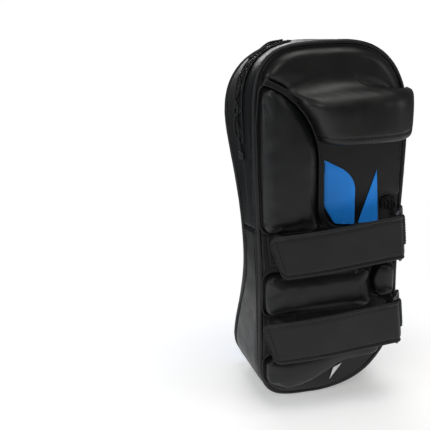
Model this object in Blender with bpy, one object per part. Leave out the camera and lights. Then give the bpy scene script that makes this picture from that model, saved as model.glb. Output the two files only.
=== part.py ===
"""Thai pad: a curved striking pad, held on the forearm by a padded grip and two hook-and-loop straps.

Metres, +Z up. The pad stands on its lower end with the striking face towards -Y and the strap side
towards +Y. The origin is at the bottom centre of the bounding box.

A depth is measured from the plane of the rear seam (y = REAR_Y) towards the striking face, and a rise
is measured from the same plane towards the straps. Outlines are lists of (x, z) points, clockwise with
+X to the right and +Z up. A station is a point's place along the seam outline, 0 at the top centre,
growing down the +X side; a share runs across the side wall, 0 at the rear seam and 1 at the front seam.
"""

import math

import bmesh
import bpy
from mathutils import Matrix, Vector

# ---- driving dimensions -------------------------------------------------------------------------

# Pad body
PAD_HEIGHT = 0.400
REAR_Y = 0.0355
FRONT_TOP_DROP = 0.0150
FRONT_WIDTH_TOP = 0.183
FRONT_WIDTH_LOW = 0.166
FRONT_PINCH = 0.0
FRONT_CORNER_POWER = 2.4
REAR_WIDTH_TOP = 0.165
REAR_WIDTH_LOW = 0.155
REAR_PINCH = 0.002
REAR_CORNER_POWER = 4.2
REAR_FAR_CORNER_POWER = 2.6
SIDE_DEPTH_TOP = 0.110
SIDE_DEPTH_LOW = 0.098
SIDE_DEPTH_PINCH = 0.0757
FACE_DEPTH_TOP = 0.118
FACE_DEPTH_LOW = 0.108
FACE_DEPTH_PINCH = 0.034
FACE_ROUND_POWER = 2.6
FACE_FLAT_SHARE = 0.24
WAIST_Z = 0.196
WAIST_SPREAD = 0.115
TOP_CAP = 0.105
FOOT_MIDDLE_X = 0.022
NEAR_FOOT = (0.030, 0.055, 2.5)
FAR_FOOT = (-0.014, 0.095, 1.8)
REAR_TUCK = 0.012
REAR_TUCK_HEIGHT = 0.032
CROSS_SEAM_Z = 0.205

# Skins, seams and clearances
GAP = 0.0004
PIPING_RADIUS = 0.0025
WALL_BULGE = 0.0025
WALL_BULGE_SHARE = 0.15
SKIN = 0.0022
TONGUE_SKIN = 0.0012
FOAM_ROOM = 0.0010
BACKING_SHARE = 0.24
CORE_SHARE = 0.62

# Laced closure in the upper side wall
SLIT_SHARE = 0.42
SLIT_WIDTH = 0.0030
STAY_WIDTH = 0.0085
STAY_SKIN = 0.0010
TONGUE_WIDTH = 0.020
EYELET_PAIRS = 6
EYELET_END_MARGIN = 0.010
EYELET_RADIUS = 0.0023
EYELET_WIRE = 0.00075
LACE_RADIUS = 0.0010
TAIL_DROP = 0.0200
TAIL_SPACING = 0.0036
KEEPER_SIZE = (0.0110, 0.0080, 0.0030)

# Panels and cushions on the arm side
REAR_SKIN_RISE = 0.0010
CUSHION_MARGIN = 0.0042
CUSHION_RISE = 0.0150
CUSHION_EDGE = 0.0055
CUSHION_SKIN = 0.0014
CUSHION_CORNER = 0.0085
TOP_PANEL_RISE = 0.0110
HAND_PANEL_RISE = 0.0042
HAND_PANEL_EDGE = 0.0020
ACCENT_SKIN = 0.0010
QUARTER_CENTRE = (0.6545 * REAR_WIDTH_TOP, 0.2760)
QUARTER_RADIUS = 0.5648 * REAR_WIDTH_TOP
PANEL_SEAM = 0.0032
UPPER_CUSHION_LOW = 0.2015
MIDDLE_CUSHION_TOP = 0.1555
MIDDLE_CUSHION_LOW = 0.1075
SIDE_CUSHION_LOW = 0.1175
SIDE_SEAM_X = -0.0525
SIDE_SEAM_BOW = 0.0060
LOWER_CUSHION_TOP = 0.0570

# Grip
GRIP_CENTRE_Z = 0.3215
GRIP_HEIGHT = 0.0455
TOP_PANEL_LOW = GRIP_CENTRE_Z + GRIP_HEIGHT / 2 + 0.00325
GRIP_THICKNESS = 0.0165
GRIP_END_THICKNESS = 0.0066
GRIP_RISE = 0.0340
GRIP_INNER_X = QUARTER_CENTRE[0] - QUARTER_RADIUS - 0.0045
GRIP_OUTER_X = 0.0067 - REAR_WIDTH_TOP / 2
GRIP_SKIN = 0.0014

# Straps
STRAP_TILT = math.radians(5.0)
UPPER_STRAP_Z = 0.1875
LOWER_STRAP_Z = 0.0900
FLAP_WIDTH = 0.0490
BASE_WIDTH = 0.0350
BASE_BOW = 0.0290
BASE_SLOT_X = 0.0680
TAB_SLANT = 0.0070
TAB_RADIUS = 0.0110
STRAP_THICKNESS = 0.0024
PATCH_THICKNESS = 0.0008
PATCH_WIDTH = 0.0300
UPPER_TAB_X = 0.0720
LOWER_TAB_X = 0.0800
RING_WIRE = 0.0018
RING_SIDE_ROOM = 0.0010
RING_BAR = (-0.0670, 0.0300)
ANCHOR_BAR = (-0.0780, 0.0130)
ANCHOR_WIDTH = 0.0330
ANCHOR_THICKNESS = 0.0016
ANCHOR_FOOT_MARGIN = 0.0066

# Mesh density
TOP_STEPS = 9
UPPER_SIDE_STEPS = 4
LOWER_SIDE_STEPS = 5
BOTTOM_STEPS = 7

# ---- small helpers ------------------------------------------------------------------------------


def mix(a, b, share):
    return a + (b - a) * share


def smooth(share):
    share = min(max(share, 0.0), 1.0)
    return share * share * (3.0 - 2.0 * share)


def bell(z, power):
    """1 at the waist, falling to 0 towards the two ends of the pad."""
    return math.exp(-((abs(z - WAIST_Z) / WAIST_SPREAD) ** power))


def signed_power(value, power):
    return math.copysign(abs(value) ** power, value)


def make_material(name, colour, roughness, metallic=0.0):
    material = bpy.data.materials.new(name)
    material.use_nodes = True
    shader = material.node_tree.nodes["Principled BSDF"]
    shader.inputs["Base Color"].default_value = (*colour, 1.0)
    shader.inputs["Roughness"].default_value = roughness
    shader.inputs["Metallic"].default_value = metallic
    material.diffuse_color = (*colour, 1.0)
    return material


def make_object(name, bm, material, pivot=None):
    """Link the mesh as one named object. With a pivot empty, its origin is at the empty's place."""
    bmesh.ops.recalc_face_normals(bm, faces=bm.faces)
    mesh = bpy.data.meshes.new(name)
    bm.to_mesh(mesh)
    bm.free()
    mesh.materials.append(material)
    mesh.shade_smooth()
    mesh.set_sharp_from_angle(angle=math.radians(35))
    obj = bpy.data.objects.new(name, mesh)
    bpy.context.scene.collection.objects.link(obj)
    if pivot is not None:
        mesh.transform(Matrix.Translation(-pivot["place"]))
        obj.parent = pivot["empty"]
    return obj


def make_pivot(name, place, parent=None):
    """An empty on a joint's axis; the pieces that turn about it are its children."""
    empty = bpy.data.objects.new(name, None)
    bpy.context.scene.collection.objects.link(empty)
    empty.location = place
    if parent is not None:
        empty.parent = parent["empty"]
        empty.location = place - parent["place"]
    return {"empty": empty, "place": place}


def add_loop(bm, points):
    return [bm.verts.new(point) for point in points]


def bridge(bm, first, second):
    """Quads between two closed loops of the same length."""
    count = len(first)
    for i in range(count):
        j = (i + 1) % count
        bm.faces.new((first[i], first[j], second[j], second[i]))


def cap_ladder(bm, loop):
    """Close a left-right symmetric loop, whose first point is the top centre, with rungs across it."""
    count = len(loop)
    half = count // 2
    bm.faces.new((loop[0], loop[1], loop[count - 1]))
    for i in range(1, half - 1):
        bm.faces.new((loop[i], loop[i + 1], loop[count - i - 1], loop[count - i]))
    bm.faces.new((loop[half - 1], loop[half], loop[half + 1]))


def loft(name, loops, material, cap="flat", pivot=None):
    """One closed solid through a pile of loops: cap "flat" or "ladder", or "ring" for last to first."""
    bm = bmesh.new()
    rings = [add_loop(bm, loop) for loop in loops]
    for first, second in zip(rings, rings[1:]):
        bridge(bm, first, second)
    if cap == "ring":
        bridge(bm, rings[-1], rings[0])
    elif cap == "ladder":
        cap_ladder(bm, rings[0])
        cap_ladder(bm, rings[-1])
    else:
        bm.faces.new(rings[0])
        bm.faces.new(rings[-1])
    return make_object(name, bm, material, pivot)


def normals_of(outline):
    """Unit vectors pointing out of a clockwise (x, z) outline."""
    normals = []
    for i, after in enumerate(outline[1:] + outline[:1]):
        before = outline[i - 1]
        along = Vector((after[0] - before[0], after[1] - before[1])).normalized()
        normals.append(Vector((-along.y, along.x)))
    return normals


def inset_outline(outline, inset):
    return [(x - n.x * inset, z - n.y * inset) for (x, z), n in zip(outline, normals_of(outline))]


def fillet(corners, steps=3):
    """An outline from (x, z, radius) corners, with each radius drawn as a short arc."""
    outline = []
    count = len(corners)
    for i, (x, z, radius) in enumerate(corners):
        corner = Vector((x, z))
        if radius == 0.0:
            outline.append((x, z))
            continue
        back = (Vector(corners[i - 1][:2]) - corner).normalized()
        ahead = (Vector(corners[(i + 1) % count][:2]) - corner).normalized()
        half_angle = back.angle(ahead) / 2
        reach = radius / math.tan(half_angle)
        centre = corner + (back + ahead).normalized() * (radius / math.sin(half_angle))
        first_arm = corner + back * reach - centre
        turn = first_arm.angle_signed(corner + ahead * reach - centre)
        for step in range(steps + 1):
            arm = first_arm.copy()
            arm.rotate(Matrix.Rotation(-turn * step / steps, 2))
            outline.append(tuple(centre + arm))
    return outline


# ---- shape of the pad body ----------------------------------------------------------------------


def half_width(z, low, top, pinch):
    share = smooth((z - 0.30 * PAD_HEIGHT) / (0.45 * PAD_HEIGHT))
    return mix(low, top, share) / 2 - pinch * bell(z, 2.0)


def front_half_width(z):
    return half_width(z, FRONT_WIDTH_LOW, FRONT_WIDTH_TOP, FRONT_PINCH)


def rear_half_width(z):
    return half_width(z, REAR_WIDTH_LOW, REAR_WIDTH_TOP, REAR_PINCH)


def side_depth(z):
    full = mix(SIDE_DEPTH_LOW, SIDE_DEPTH_TOP, z / PAD_HEIGHT)
    return full - SIDE_DEPTH_PINCH * bell(z, 2.6)


def face_depth(z):
    full = mix(FACE_DEPTH_LOW, FACE_DEPTH_TOP, z / PAD_HEIGHT)
    return full - FACE_DEPTH_PINCH * bell(z, 2.0)


def rear_tuck(z):
    """How far the rear seam falls forward near the lower end."""
    share = max(REAR_TUCK_HEIGHT - z, 0.0) / REAR_TUCK_HEIGHT
    return REAR_TUCK * share * share


def outline_side(width_at, top, corner_power, foot):
    """One side of a seam's outline as (distance from the middle, z), from the top centre to its foot.

    The foot is where the flat base begins, the height at which the lower corner starts, and its power.
    """
    foot_x, foot_z, foot_power = foot
    cap_z = PAD_HEIGHT - TOP_CAP
    side = [(0.0, top)]
    for step in range(1, TOP_STEPS):
        angle = math.pi / 2 * (1 - step / TOP_STEPS)
        z = mix(cap_z, top, math.sin(angle) ** (2 / corner_power))
        side.append((width_at(z) * math.cos(angle) ** (2 / corner_power), z))
    for step in range(UPPER_SIDE_STEPS):
        z = mix(cap_z, CROSS_SEAM_Z, step / UPPER_SIDE_STEPS)
        side.append((width_at(z), z))
    for step in range(LOWER_SIDE_STEPS):
        z = mix(CROSS_SEAM_Z, foot_z, step / LOWER_SIDE_STEPS)
        side.append((width_at(z), z))
    for step in range(BOTTOM_STEPS):
        angle = math.pi / 2 * step / BOTTOM_STEPS
        z = mix(foot_z, WALL_BULGE, math.sin(angle) ** (2 / foot_power))
        side.append((mix(foot_x, width_at(z), math.cos(angle) ** (2 / foot_power)), z))
    side.append((foot_x, WALL_BULGE))
    return side


def seam_outline(width_at, top, corner_power, far_corner_power):
    """A seam's closed outline, from the top centre down the +X side and back up the rounder -X side."""
    near = outline_side(width_at, top, corner_power, NEAR_FOOT)
    far = outline_side(width_at, top, far_corner_power, FAR_FOOT)
    return near + [(FOOT_MIDDLE_X, WALL_BULGE)] + [(-x, z) for x, z in reversed(far[1:])]


FRONT_TOP = PAD_HEIGHT - WALL_BULGE - FRONT_TOP_DROP
REAR_TOP = PAD_HEIGHT - WALL_BULGE
FRONT_OUTLINE = seam_outline(front_half_width, FRONT_TOP, FRONT_CORNER_POWER, FRONT_CORNER_POWER)
REAR_OUTLINE = seam_outline(rear_half_width, REAR_TOP, REAR_CORNER_POWER, REAR_FAR_CORNER_POWER)
LOOP_COUNT = len(REAR_OUTLINE)
CROSS_STATION = TOP_STEPS + UPPER_SIDE_STEPS
CLOSURE_START = 1
CLOSURE_END = TOP_STEPS


def wall_normals():
    """Outward directions at the stations; straight down along the flat base, straight up on top."""
    normals = []
    for (x, z), normal in zip(REAR_OUTLINE, normals_of(REAR_OUTLINE)):
        if z <= WALL_BULGE:
            normal = Vector((0.0, -1.0))
        normals.append(Vector((normal.x, 0.0, normal.y)))
    return normals


WALL_NORMALS = wall_normals()


def rear_seam(i):
    x, z = REAR_OUTLINE[i % LOOP_COUNT]
    return Vector((x, REAR_Y - rear_tuck(z), z))


def front_seam(i):
    x, z = FRONT_OUTLINE[i % LOOP_COUNT]
    return Vector((x, REAR_Y - side_depth(z), z))


def at_station(station, value_at):
    """Linear between two whole stations, for a value that is known at whole ones."""
    low = math.floor(station)
    share = station - low
    return value_at(low) * (1.0 - share) + value_at(low + 1) * share


def wall_normal(station):
    return at_station(station, lambda i: WALL_NORMALS[i % LOOP_COUNT]).normalized()


def wall_length(station):
    return at_station(station, lambda i: (front_seam(i) - rear_seam(i)).length)


def wall_point(station, share, lift=0.0):
    """A point of the side wall, lifted outwards from its surface."""
    bulge = WALL_BULGE * min(1.0, min(share, 1.0 - share) / WALL_BULGE_SHARE)

    def whole(i):
        place = rear_seam(i).lerp(front_seam(i), share)
        return place + WALL_NORMALS[i % LOOP_COUNT] * (bulge + lift)

    return at_station(station, whole)


def seam_share(station):
    """How much of the wall's width a piping and its clearance take."""
    return (PIPING_RADIUS + GAP) / wall_length(station)


def lip_share(station, side):
    """One lip of the closure: side -1 is the rear lip, +1 the front lip. Below it the lips meet."""
    opened = CLOSURE_START <= station <= CLOSURE_END
    half_gap = (SLIT_WIDTH if opened else GAP) / 2
    return SLIT_SHARE + side * half_gap / wall_length(station)


def face_loop(angle, inset):
    """A loop of the striking face: angle 0 at its rim, a right angle where it is flat across."""
    spread = mix(FACE_FLAT_SHARE, 1.0, max(math.cos(angle), 0.0) ** (2 / FACE_ROUND_POWER))
    rounded = math.sin(angle) ** (2 / FACE_ROUND_POWER)
    middle_z = FRONT_TOP / 2
    spread_z = 1.0 - (1.0 - spread) * FRONT_WIDTH_TOP / FRONT_TOP
    loop = []
    for (seam_x, seam_z), (x, z) in zip(FRONT_OUTLINE, inset_outline(FRONT_OUTLINE, inset)):
        new_z = middle_z + (z - middle_z) * spread_z
        rim = side_depth(seam_z) + PIPING_RADIUS + GAP
        full = face_depth(new_z) - inset
        loop.append(Vector((x * spread, REAR_Y - mix(rim, full, rounded), new_z)))
    return loop


# ---- the pad body's pieces ----------------------------------------------------------------------


def wall_band(name, stations, shares, lift, skin, material):
    """A strip of side wall: shares(station) lists the places of its cross points."""
    loops = []
    for station in stations:
        cross = shares(station)
        outer = [wall_point(station, share, lift) for share in cross]
        inner = [wall_point(station, share, lift - skin) for share in reversed(cross)]
        loops.append(outer + inner)
    return loft(name, loops, material)


def make_side_wall(materials):
    upper = range(-CROSS_STATION, CROSS_STATION + 1)
    near_step = (CROSS_SEAM_Z - NEAR_FOOT[1]) / LOWER_SIDE_STEPS
    far_step = (CROSS_SEAM_Z - FAR_FOOT[1]) / LOWER_SIDE_STEPS
    start = CROSS_STATION + GAP / near_step
    end = LOOP_COUNT - CROSS_STATION - GAP / far_step
    lower = [start, *range(CROSS_STATION + 1, LOOP_COUNT - CROSS_STATION), end]

    def rear_shares(station):
        return [seam_share(station), WALL_BULGE_SHARE, lip_share(station, -1)]

    def front_shares(station):
        return [lip_share(station, 1), 1.0 - WALL_BULGE_SHARE, 1.0 - seam_share(station)]

    def lower_shares(station):
        seam = seam_share(station)
        return [seam, WALL_BULGE_SHARE, 1.0 - WALL_BULGE_SHARE, 1.0 - seam]

    wall_band("upper_gusset_rear", upper, rear_shares, 0.0, SKIN, materials["leather_soft"])
    wall_band("upper_gusset_front", upper, front_shares, 0.0, SKIN, materials["leather"])
    wall_band("lower_gusset", lower, lower_shares, 0.0, SKIN, materials["leather"])


def make_piping(name, seam, material):
    """A round welt along a whole seam."""
    loops = []
    sides = 8
    for i in range(LOOP_COUNT):
        out = WALL_NORMALS[i]
        back = Vector((0.0, 1.0, 0.0))
        turns = [2 * math.pi * k / sides for k in range(sides)]
        loops.append([seam(i) + (out * math.cos(a) + back * math.sin(a)) * PIPING_RADIUS for a in turns])
    return loft(name, loops, material, cap="ring")


def make_front_cover(materials):
    angles = [math.radians(a) for a in (0, 12, 26, 42, 60, 90)]
    outer = [face_loop(a, 0.0) for a in reversed(angles)]
    inner = [face_loop(a, SKIN) for a in angles]
    loft("front_cover", outer + inner, materials["leather"], cap="ladder")


def make_rear_cover(materials):
    outline = inset_outline(REAR_OUTLINE, PIPING_RADIUS + GAP)
    loops = []
    for rise in (REAR_SKIN_RISE, REAR_SKIN_RISE - SKIN):
        loops.append([Vector((x, REAR_Y + rise - rear_tuck(z), z)) for x, z in outline])
    loft("rear_cover", loops, materials["leather_soft"], cap="ladder")


def make_fillings(materials):
    inset = SKIN + GAP + TONGUE_SKIN + GAP + FOAM_ROOM
    stations = range(LOOP_COUNT)

    def wall_loop(share_at):
        return [wall_point(i, share_at(i), -inset) for i in stations]

    def split(share, side):
        return wall_loop(lambda i: share + side * GAP / wall_length(i))

    back = wall_loop(lambda i: (SKIN + 2 * GAP) / wall_length(i))
    loft("backing_foam", [back, split(BACKING_SHARE, -1)], materials["dense_foam"], cap="ladder")
    core = [split(BACKING_SHARE, 1), split(CORE_SHARE, -1)]
    loft("core_foam", core, materials["foam"], cap="ladder")
    face_inset = SKIN + GAP + FOAM_ROOM
    faces = [face_loop(math.radians(a), face_inset) for a in (4, 22, 45, 90)]
    loft("shock_foam", [split(CORE_SHARE, 1)] + faces, materials["dense_foam"], cap="ladder")


# ---- laced closure ------------------------------------------------------------------------------


def make_closure(materials):
    stations = range(CLOSURE_START, CLOSURE_END + 1)

    def stay_shares(side):
        def shares(station):
            lip = lip_share(station, side)
            return [lip, lip + side * STAY_WIDTH / wall_length(station)]

        return shares

    def tongue_shares(station):
        half = TONGUE_WIDTH / 2 / wall_length(station)
        return [SLIT_SHARE - half, SLIT_SHARE + half]

    top = GAP + STAY_SKIN
    wall_band("rear_lacing_stay", stations, stay_shares(-1), top, STAY_SKIN, materials["leather"])
    wall_band("front_lacing_stay", stations, stay_shares(1), top, STAY_SKIN, materials["leather"])
    behind = -SKIN - GAP
    wall_band("closure_tongue", stations, tongue_shares, behind, TONGUE_SKIN, materials["leather"])
    make_eyelets(materials)
    make_lace(materials)


def eyelet_stations():
    """Evenly spaced stations along the closure, from its upper end to its lower end."""
    steps = 80
    spots = [mix(CLOSURE_START, CLOSURE_END, k / steps) for k in range(steps + 1)]
    places = [wall_point(spot, SLIT_SHARE) for spot in spots]
    travelled = [0.0]
    for before, after in zip(places, places[1:]):
        travelled.append(travelled[-1] + (after - before).length)
    found = []
    for pair in range(EYELET_PAIRS):
        wanted = mix(EYELET_END_MARGIN, travelled[-1] - EYELET_END_MARGIN, pair / (EYELET_PAIRS - 1))
        k = next(k for k in range(steps) if travelled[k + 1] >= wanted)
        part = (wanted - travelled[k]) / (travelled[k + 1] - travelled[k])
        found.append(mix(spots[k], spots[k + 1], part))
    return found


def eyelet_place(station, side, lift):
    share = SLIT_SHARE + side * (SLIT_WIDTH / 2 + STAY_WIDTH / 2) / wall_length(station)
    return wall_point(station, share, lift)


def make_eyelets(materials):
    lift = GAP + STAY_SKIN + GAP + EYELET_WIRE
    around = 12
    wire_sides = 6
    for pair, station in enumerate(eyelet_stations(), start=1):
        out = wall_normal(station)
        for side, side_name in ((-1, "rear"), (1, "front")):
            centre = eyelet_place(station, side, lift)
            across = (wall_point(station, 0.5, 0.0) - wall_point(station, 0.3, 0.0)).normalized()
            up = out.cross(across).normalized()
            out_true = across.cross(up).normalized() * math.copysign(1.0, out.dot(across.cross(up)))
            loops = []
            for k in range(around):
                turn = 2 * math.pi * k / around
                arm = across * math.cos(turn) + up * math.sin(turn)
                ring = []
                for j in range(wire_sides):
                    bend = 2 * math.pi * j / wire_sides
                    offset = arm * (EYELET_RADIUS + EYELET_WIRE * math.cos(bend))
                    ring.append(centre + offset + out_true * (EYELET_WIRE * math.sin(bend)))
                loops.append(ring)
            loft(f"eyelet_{side_name}_{pair}", loops, materials["steel"], cap="ring")


def lace_route():
    """Criss-cross through the eyelets, with both tails side by side at the lower end."""
    stations = eyelet_stations()
    low = GAP + STAY_SKIN + GAP + 2 * EYELET_WIRE + GAP + LACE_RADIUS
    high = low + 2 * LACE_RADIUS + 2 * GAP
    last = len(stations) - 1

    def eyelet(pair, side):
        return eyelet_place(stations[pair], side, low)

    def crossing(pair, lift):
        station = (stations[pair] + stations[pair + 1]) / 2
        return wall_point(station, SLIT_SHARE, lift)

    def tail(side):
        side_share = side * TAIL_SPACING / 2
        points = []
        for part in (0.30, 0.65, 1.0):
            lift = mix(low, GAP + LACE_RADIUS + GAP, part)
            place = wall_point(stations[last], SLIT_SHARE, lift)
            down = wall_point(stations[last] + 1.2, SLIT_SHARE, lift) - place
            along = down.normalized()
            across = (wall_point(stations[last], 0.5) - wall_point(stations[last], 0.4)).normalized()
            points.append(place + along * (TAIL_DROP * part) + across * side_share)
        return points

    first_side = 1 if last % 2 == 0 else -1
    route = list(reversed(tail(first_side)))
    side = first_side
    for pair in range(last, 0, -1):
        route.append(eyelet(pair, side))
        route.append(crossing(pair - 1, low))
        side = -side
    route.append(eyelet(0, side))
    side = -side
    route.append(eyelet(0, side))
    for pair in range(1, last + 1):
        route.append(crossing(pair - 1, high))
        side = -side
        route.append(eyelet(pair, side))
    return route + tail(side)


def smooth_route(route, steps):
    """Points on a Catmull-Rom curve through the route's points."""
    ends = [route[0] * 2 - route[1]] + route + [route[-1] * 2 - route[-2]]
    points = []
    for a, b, c, d in zip(ends, ends[1:], ends[2:], ends[3:]):
        for step in range(steps):
            t = step / steps
            points.append(
                0.5 * (2 * b + (c - a) * t + (2 * a - 5 * b + 4 * c - d) * t * t
                       + (3 * b - a - 3 * c + d) * t * t * t)
            )
    points.append(route[-1])
    return points


def make_lace(materials):
    points = smooth_route(lace_route(), 3)
    curve = bpy.data.curves.new("lace", "CURVE")
    curve.dimensions = "3D"
    curve.bevel_depth = LACE_RADIUS
    curve.bevel_resolution = 1
    curve.use_fill_caps = True
    spline = curve.splines.new("POLY")
    spline.points.add(len(points) - 1)
    for spline_point, place in zip(spline.points, points):
        spline_point.co = (*place, 1.0)
    curve.materials.append(materials["lace"])
    lace = bpy.data.objects.new("lace", curve)
    bpy.context.scene.collection.objects.link(lace)
    make_keeper(points[0], points[-1], materials)


def make_keeper(first_tail_end, last_tail_end, materials):
    """The small tab under which both tails end, just below them on the side wall."""
    width, length, height = KEEPER_SIZE
    station = eyelet_stations()[-1]
    across = (wall_point(station, 0.5) - wall_point(station, 0.4)).normalized()
    out = wall_normal(station + 1.2)
    down = out.cross(across).normalized()
    if down.z > 0:
        down = -down
    out = across.cross(down)
    if out.x < 0:
        out = -out
    start = (first_tail_end + last_tail_end) / 2 - out * (GAP + LACE_RADIUS + GAP) + down * 2 * GAP
    loops = []
    for rise, shrink in ((2 * GAP, 0.0), (height * 0.7, 0.0), (height, height * 0.3)):
        corners = [(-1, 0), (1, 0), (1, 1), (-1, 1)]
        loop = []
        for sideways, lengthwise in corners:
            along = shrink if lengthwise == 0 else length - shrink
            loop.append(start + across * sideways * (width / 2 - shrink) + down * along + out * rise)
        loops.append(loop)
    loft("lace_keeper", loops, materials["leather"])


# ---- panels and cushions on the arm side --------------------------------------------------------


def pad_levels(rise, edge, inset):
    """(inset, rise) pairs from the flat top over the rounded edge to the base, all drawn in by inset."""
    base = REAR_SKIN_RISE + GAP
    levels = []
    for angle in (90, 60, 30, 0):
        turn = math.radians(angle)
        side = edge * (1 - math.cos(turn)) + inset
        levels.append((side, rise - edge - inset + edge * math.sin(turn)))
    levels.append((inset, base))
    return levels


def level_loops(outline, levels):
    loops = []
    for inset, rise in levels:
        loops.append([Vector((x, REAR_Y + rise, z)) for x, z in inset_outline(outline, inset)])
    return loops


def make_cushion(name, outline, rise, edge, cover_material, foam_material):
    """A cover, open towards the pad, with its foam inside."""
    outer = level_loops(outline, pad_levels(rise, edge, 0.0))
    inner = level_loops(outline, pad_levels(rise, edge, CUSHION_SKIN))
    loft(f"{name}_cover", outer + inner[::-1], cover_material)
    foam = level_loops(outline, pad_levels(rise, edge, CUSHION_SKIN + GAP))
    loft(f"{name}_foam", foam, foam_material)


def side_x(z):
    return rear_half_width(z) - CUSHION_MARGIN


def quarter_point(degrees, radius):
    turn = math.radians(degrees)
    return (QUARTER_CENTRE[0] + radius * math.cos(turn), QUARTER_CENTRE[1] + radius * math.sin(turn))


def upper_cushion_outline():
    left_x = QUARTER_CENTRE[0] - QUARTER_RADIUS
    corners = [(*quarter_point(a, QUARTER_RADIUS), 0.0) for a in (180, 170, 160, 150, 140, 130, 121)]
    top_corner = quarter_point(111.0, QUARTER_RADIUS)
    corners.append((*top_corner, CUSHION_CORNER))
    corners.append((side_x(0.300), 0.318, 0.0))
    corners.append((side_x(0.260), 0.260, 0.0))
    corners.append((side_x(0.215), UPPER_CUSHION_LOW, 0.0120))
    corners.append((left_x, UPPER_CUSHION_LOW, CUSHION_CORNER))
    return fillet(corners)


def top_panel_outline():
    """Bounded by the pad's top outline, the quarter-round seam and the grip."""
    outline = inset_outline(REAR_OUTLINE, CUSHION_MARGIN)
    left = [point for point in outline[LOOP_COUNT // 2:] if point[1] > TOP_PANEL_LOW + 0.012]
    right = [point for point in outline[: LOOP_COUNT // 2] if point[1] > 0.378]
    corners = [(*point, 0.0) for point in left + right]
    radius = QUARTER_RADIUS + PANEL_SEAM
    corners.append((*quarter_point(109.0, radius), CUSHION_CORNER))
    corners += [(*quarter_point(a, radius), 0.0) for a in (116, 122, 127)]
    meeting = QUARTER_CENTRE[0] - math.sqrt(radius**2 - (TOP_PANEL_LOW - QUARTER_CENTRE[1]) ** 2)
    corners.append((meeting, TOP_PANEL_LOW, CUSHION_CORNER))
    corners.append((-side_x(TOP_PANEL_LOW) + 0.0080, TOP_PANEL_LOW, CUSHION_CORNER))
    return fillet(corners)


def side_seam(share):
    """x of the bowed seam between the middle and the side cushion; share 0 at its top, 1 at its foot."""
    return SIDE_SEAM_X + SIDE_SEAM_BOW * math.sin(math.pi * share)


def middle_cushion_outline():
    corner = CUSHION_CORNER
    corners = [(side_seam(0.0) + PANEL_SEAM, MIDDLE_CUSHION_TOP, corner)]
    corners.append((side_x(MIDDLE_CUSHION_TOP), MIDDLE_CUSHION_TOP, corner))
    corners.append((side_x(MIDDLE_CUSHION_LOW), MIDDLE_CUSHION_LOW, corner))
    corners.append((side_seam(1.0) + PANEL_SEAM, MIDDLE_CUSHION_LOW, corner))
    for share in (0.70, 0.50, 0.30):
        z = mix(MIDDLE_CUSHION_TOP, SIDE_CUSHION_LOW, share)
        corners.append((side_seam(share) + PANEL_SEAM, z, 0.0))
    return fillet(corners)


def side_cushion_outline():
    corners = []
    for share in (0.75, 0.50, 0.25):
        corners.append((side_seam(share), mix(MIDDLE_CUSHION_TOP, SIDE_CUSHION_LOW, share), 0.0))
    corners.append((side_seam(0.0), MIDDLE_CUSHION_TOP, 0.0090))
    corners = [(-side_x(SIDE_CUSHION_LOW) + 0.001, MIDDLE_CUSHION_TOP, 0.0090)] + corners[::-1]
    corners.append((side_seam(1.0), SIDE_CUSHION_LOW, 0.0090))
    corners.append((-side_x(SIDE_CUSHION_LOW) + 0.001, SIDE_CUSHION_LOW, 0.0090))
    return fillet(corners)


def lower_cushion_outline():
    corner = CUSHION_CORNER
    rise = math.tan(STRAP_TILT)
    right_x = side_x(LOWER_CUSHION_TOP)
    corners = [(-0.0580, LOWER_CUSHION_TOP + rise * (right_x + 0.0580), corner)]
    corners.append((right_x, LOWER_CUSHION_TOP, corner))
    corners.append((right_x - 0.001, 0.0280, 0.0110))
    corners.append((0.0480, 0.0175, 0.0))
    corners.append((0.0260, 0.0225, 0.0))
    corners.append((0.0030, 0.0340, 0.0))
    corners.append((-0.0130, 0.0428, 0.0))
    corners.append((-0.0350, 0.0464, 0.0))
    corners.append((-0.0580, 0.0490, corner))
    return fillet(corners)


def hand_panel_outline():
    """The flat bed under the grip, cut away at its lower outer corner for the upper ring."""
    inner_x = QUARTER_CENTRE[0] - QUARTER_RADIUS - PANEL_SEAM + 0.0008
    outer_x = -side_x(0.26)
    corner = 0.0045
    corners = [(outer_x + 0.0040, 0.3330, corner), (inner_x, 0.3330, corner), (inner_x, 0.2020, corner)]
    corners += [(-0.0560, 0.2020, corner), (-0.0560, 0.2310, corner), (outer_x, 0.2310, corner)]
    return fillet(corners)


def make_accent(name, corners, rise, skin, material):
    """A thin flat piece sewn on at the given rise."""
    outline = fillet(corners)
    loops = [[Vector((x, REAR_Y + y, z)) for x, z in outline] for y in (rise + skin, rise)]
    loft(name, loops, material)


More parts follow.
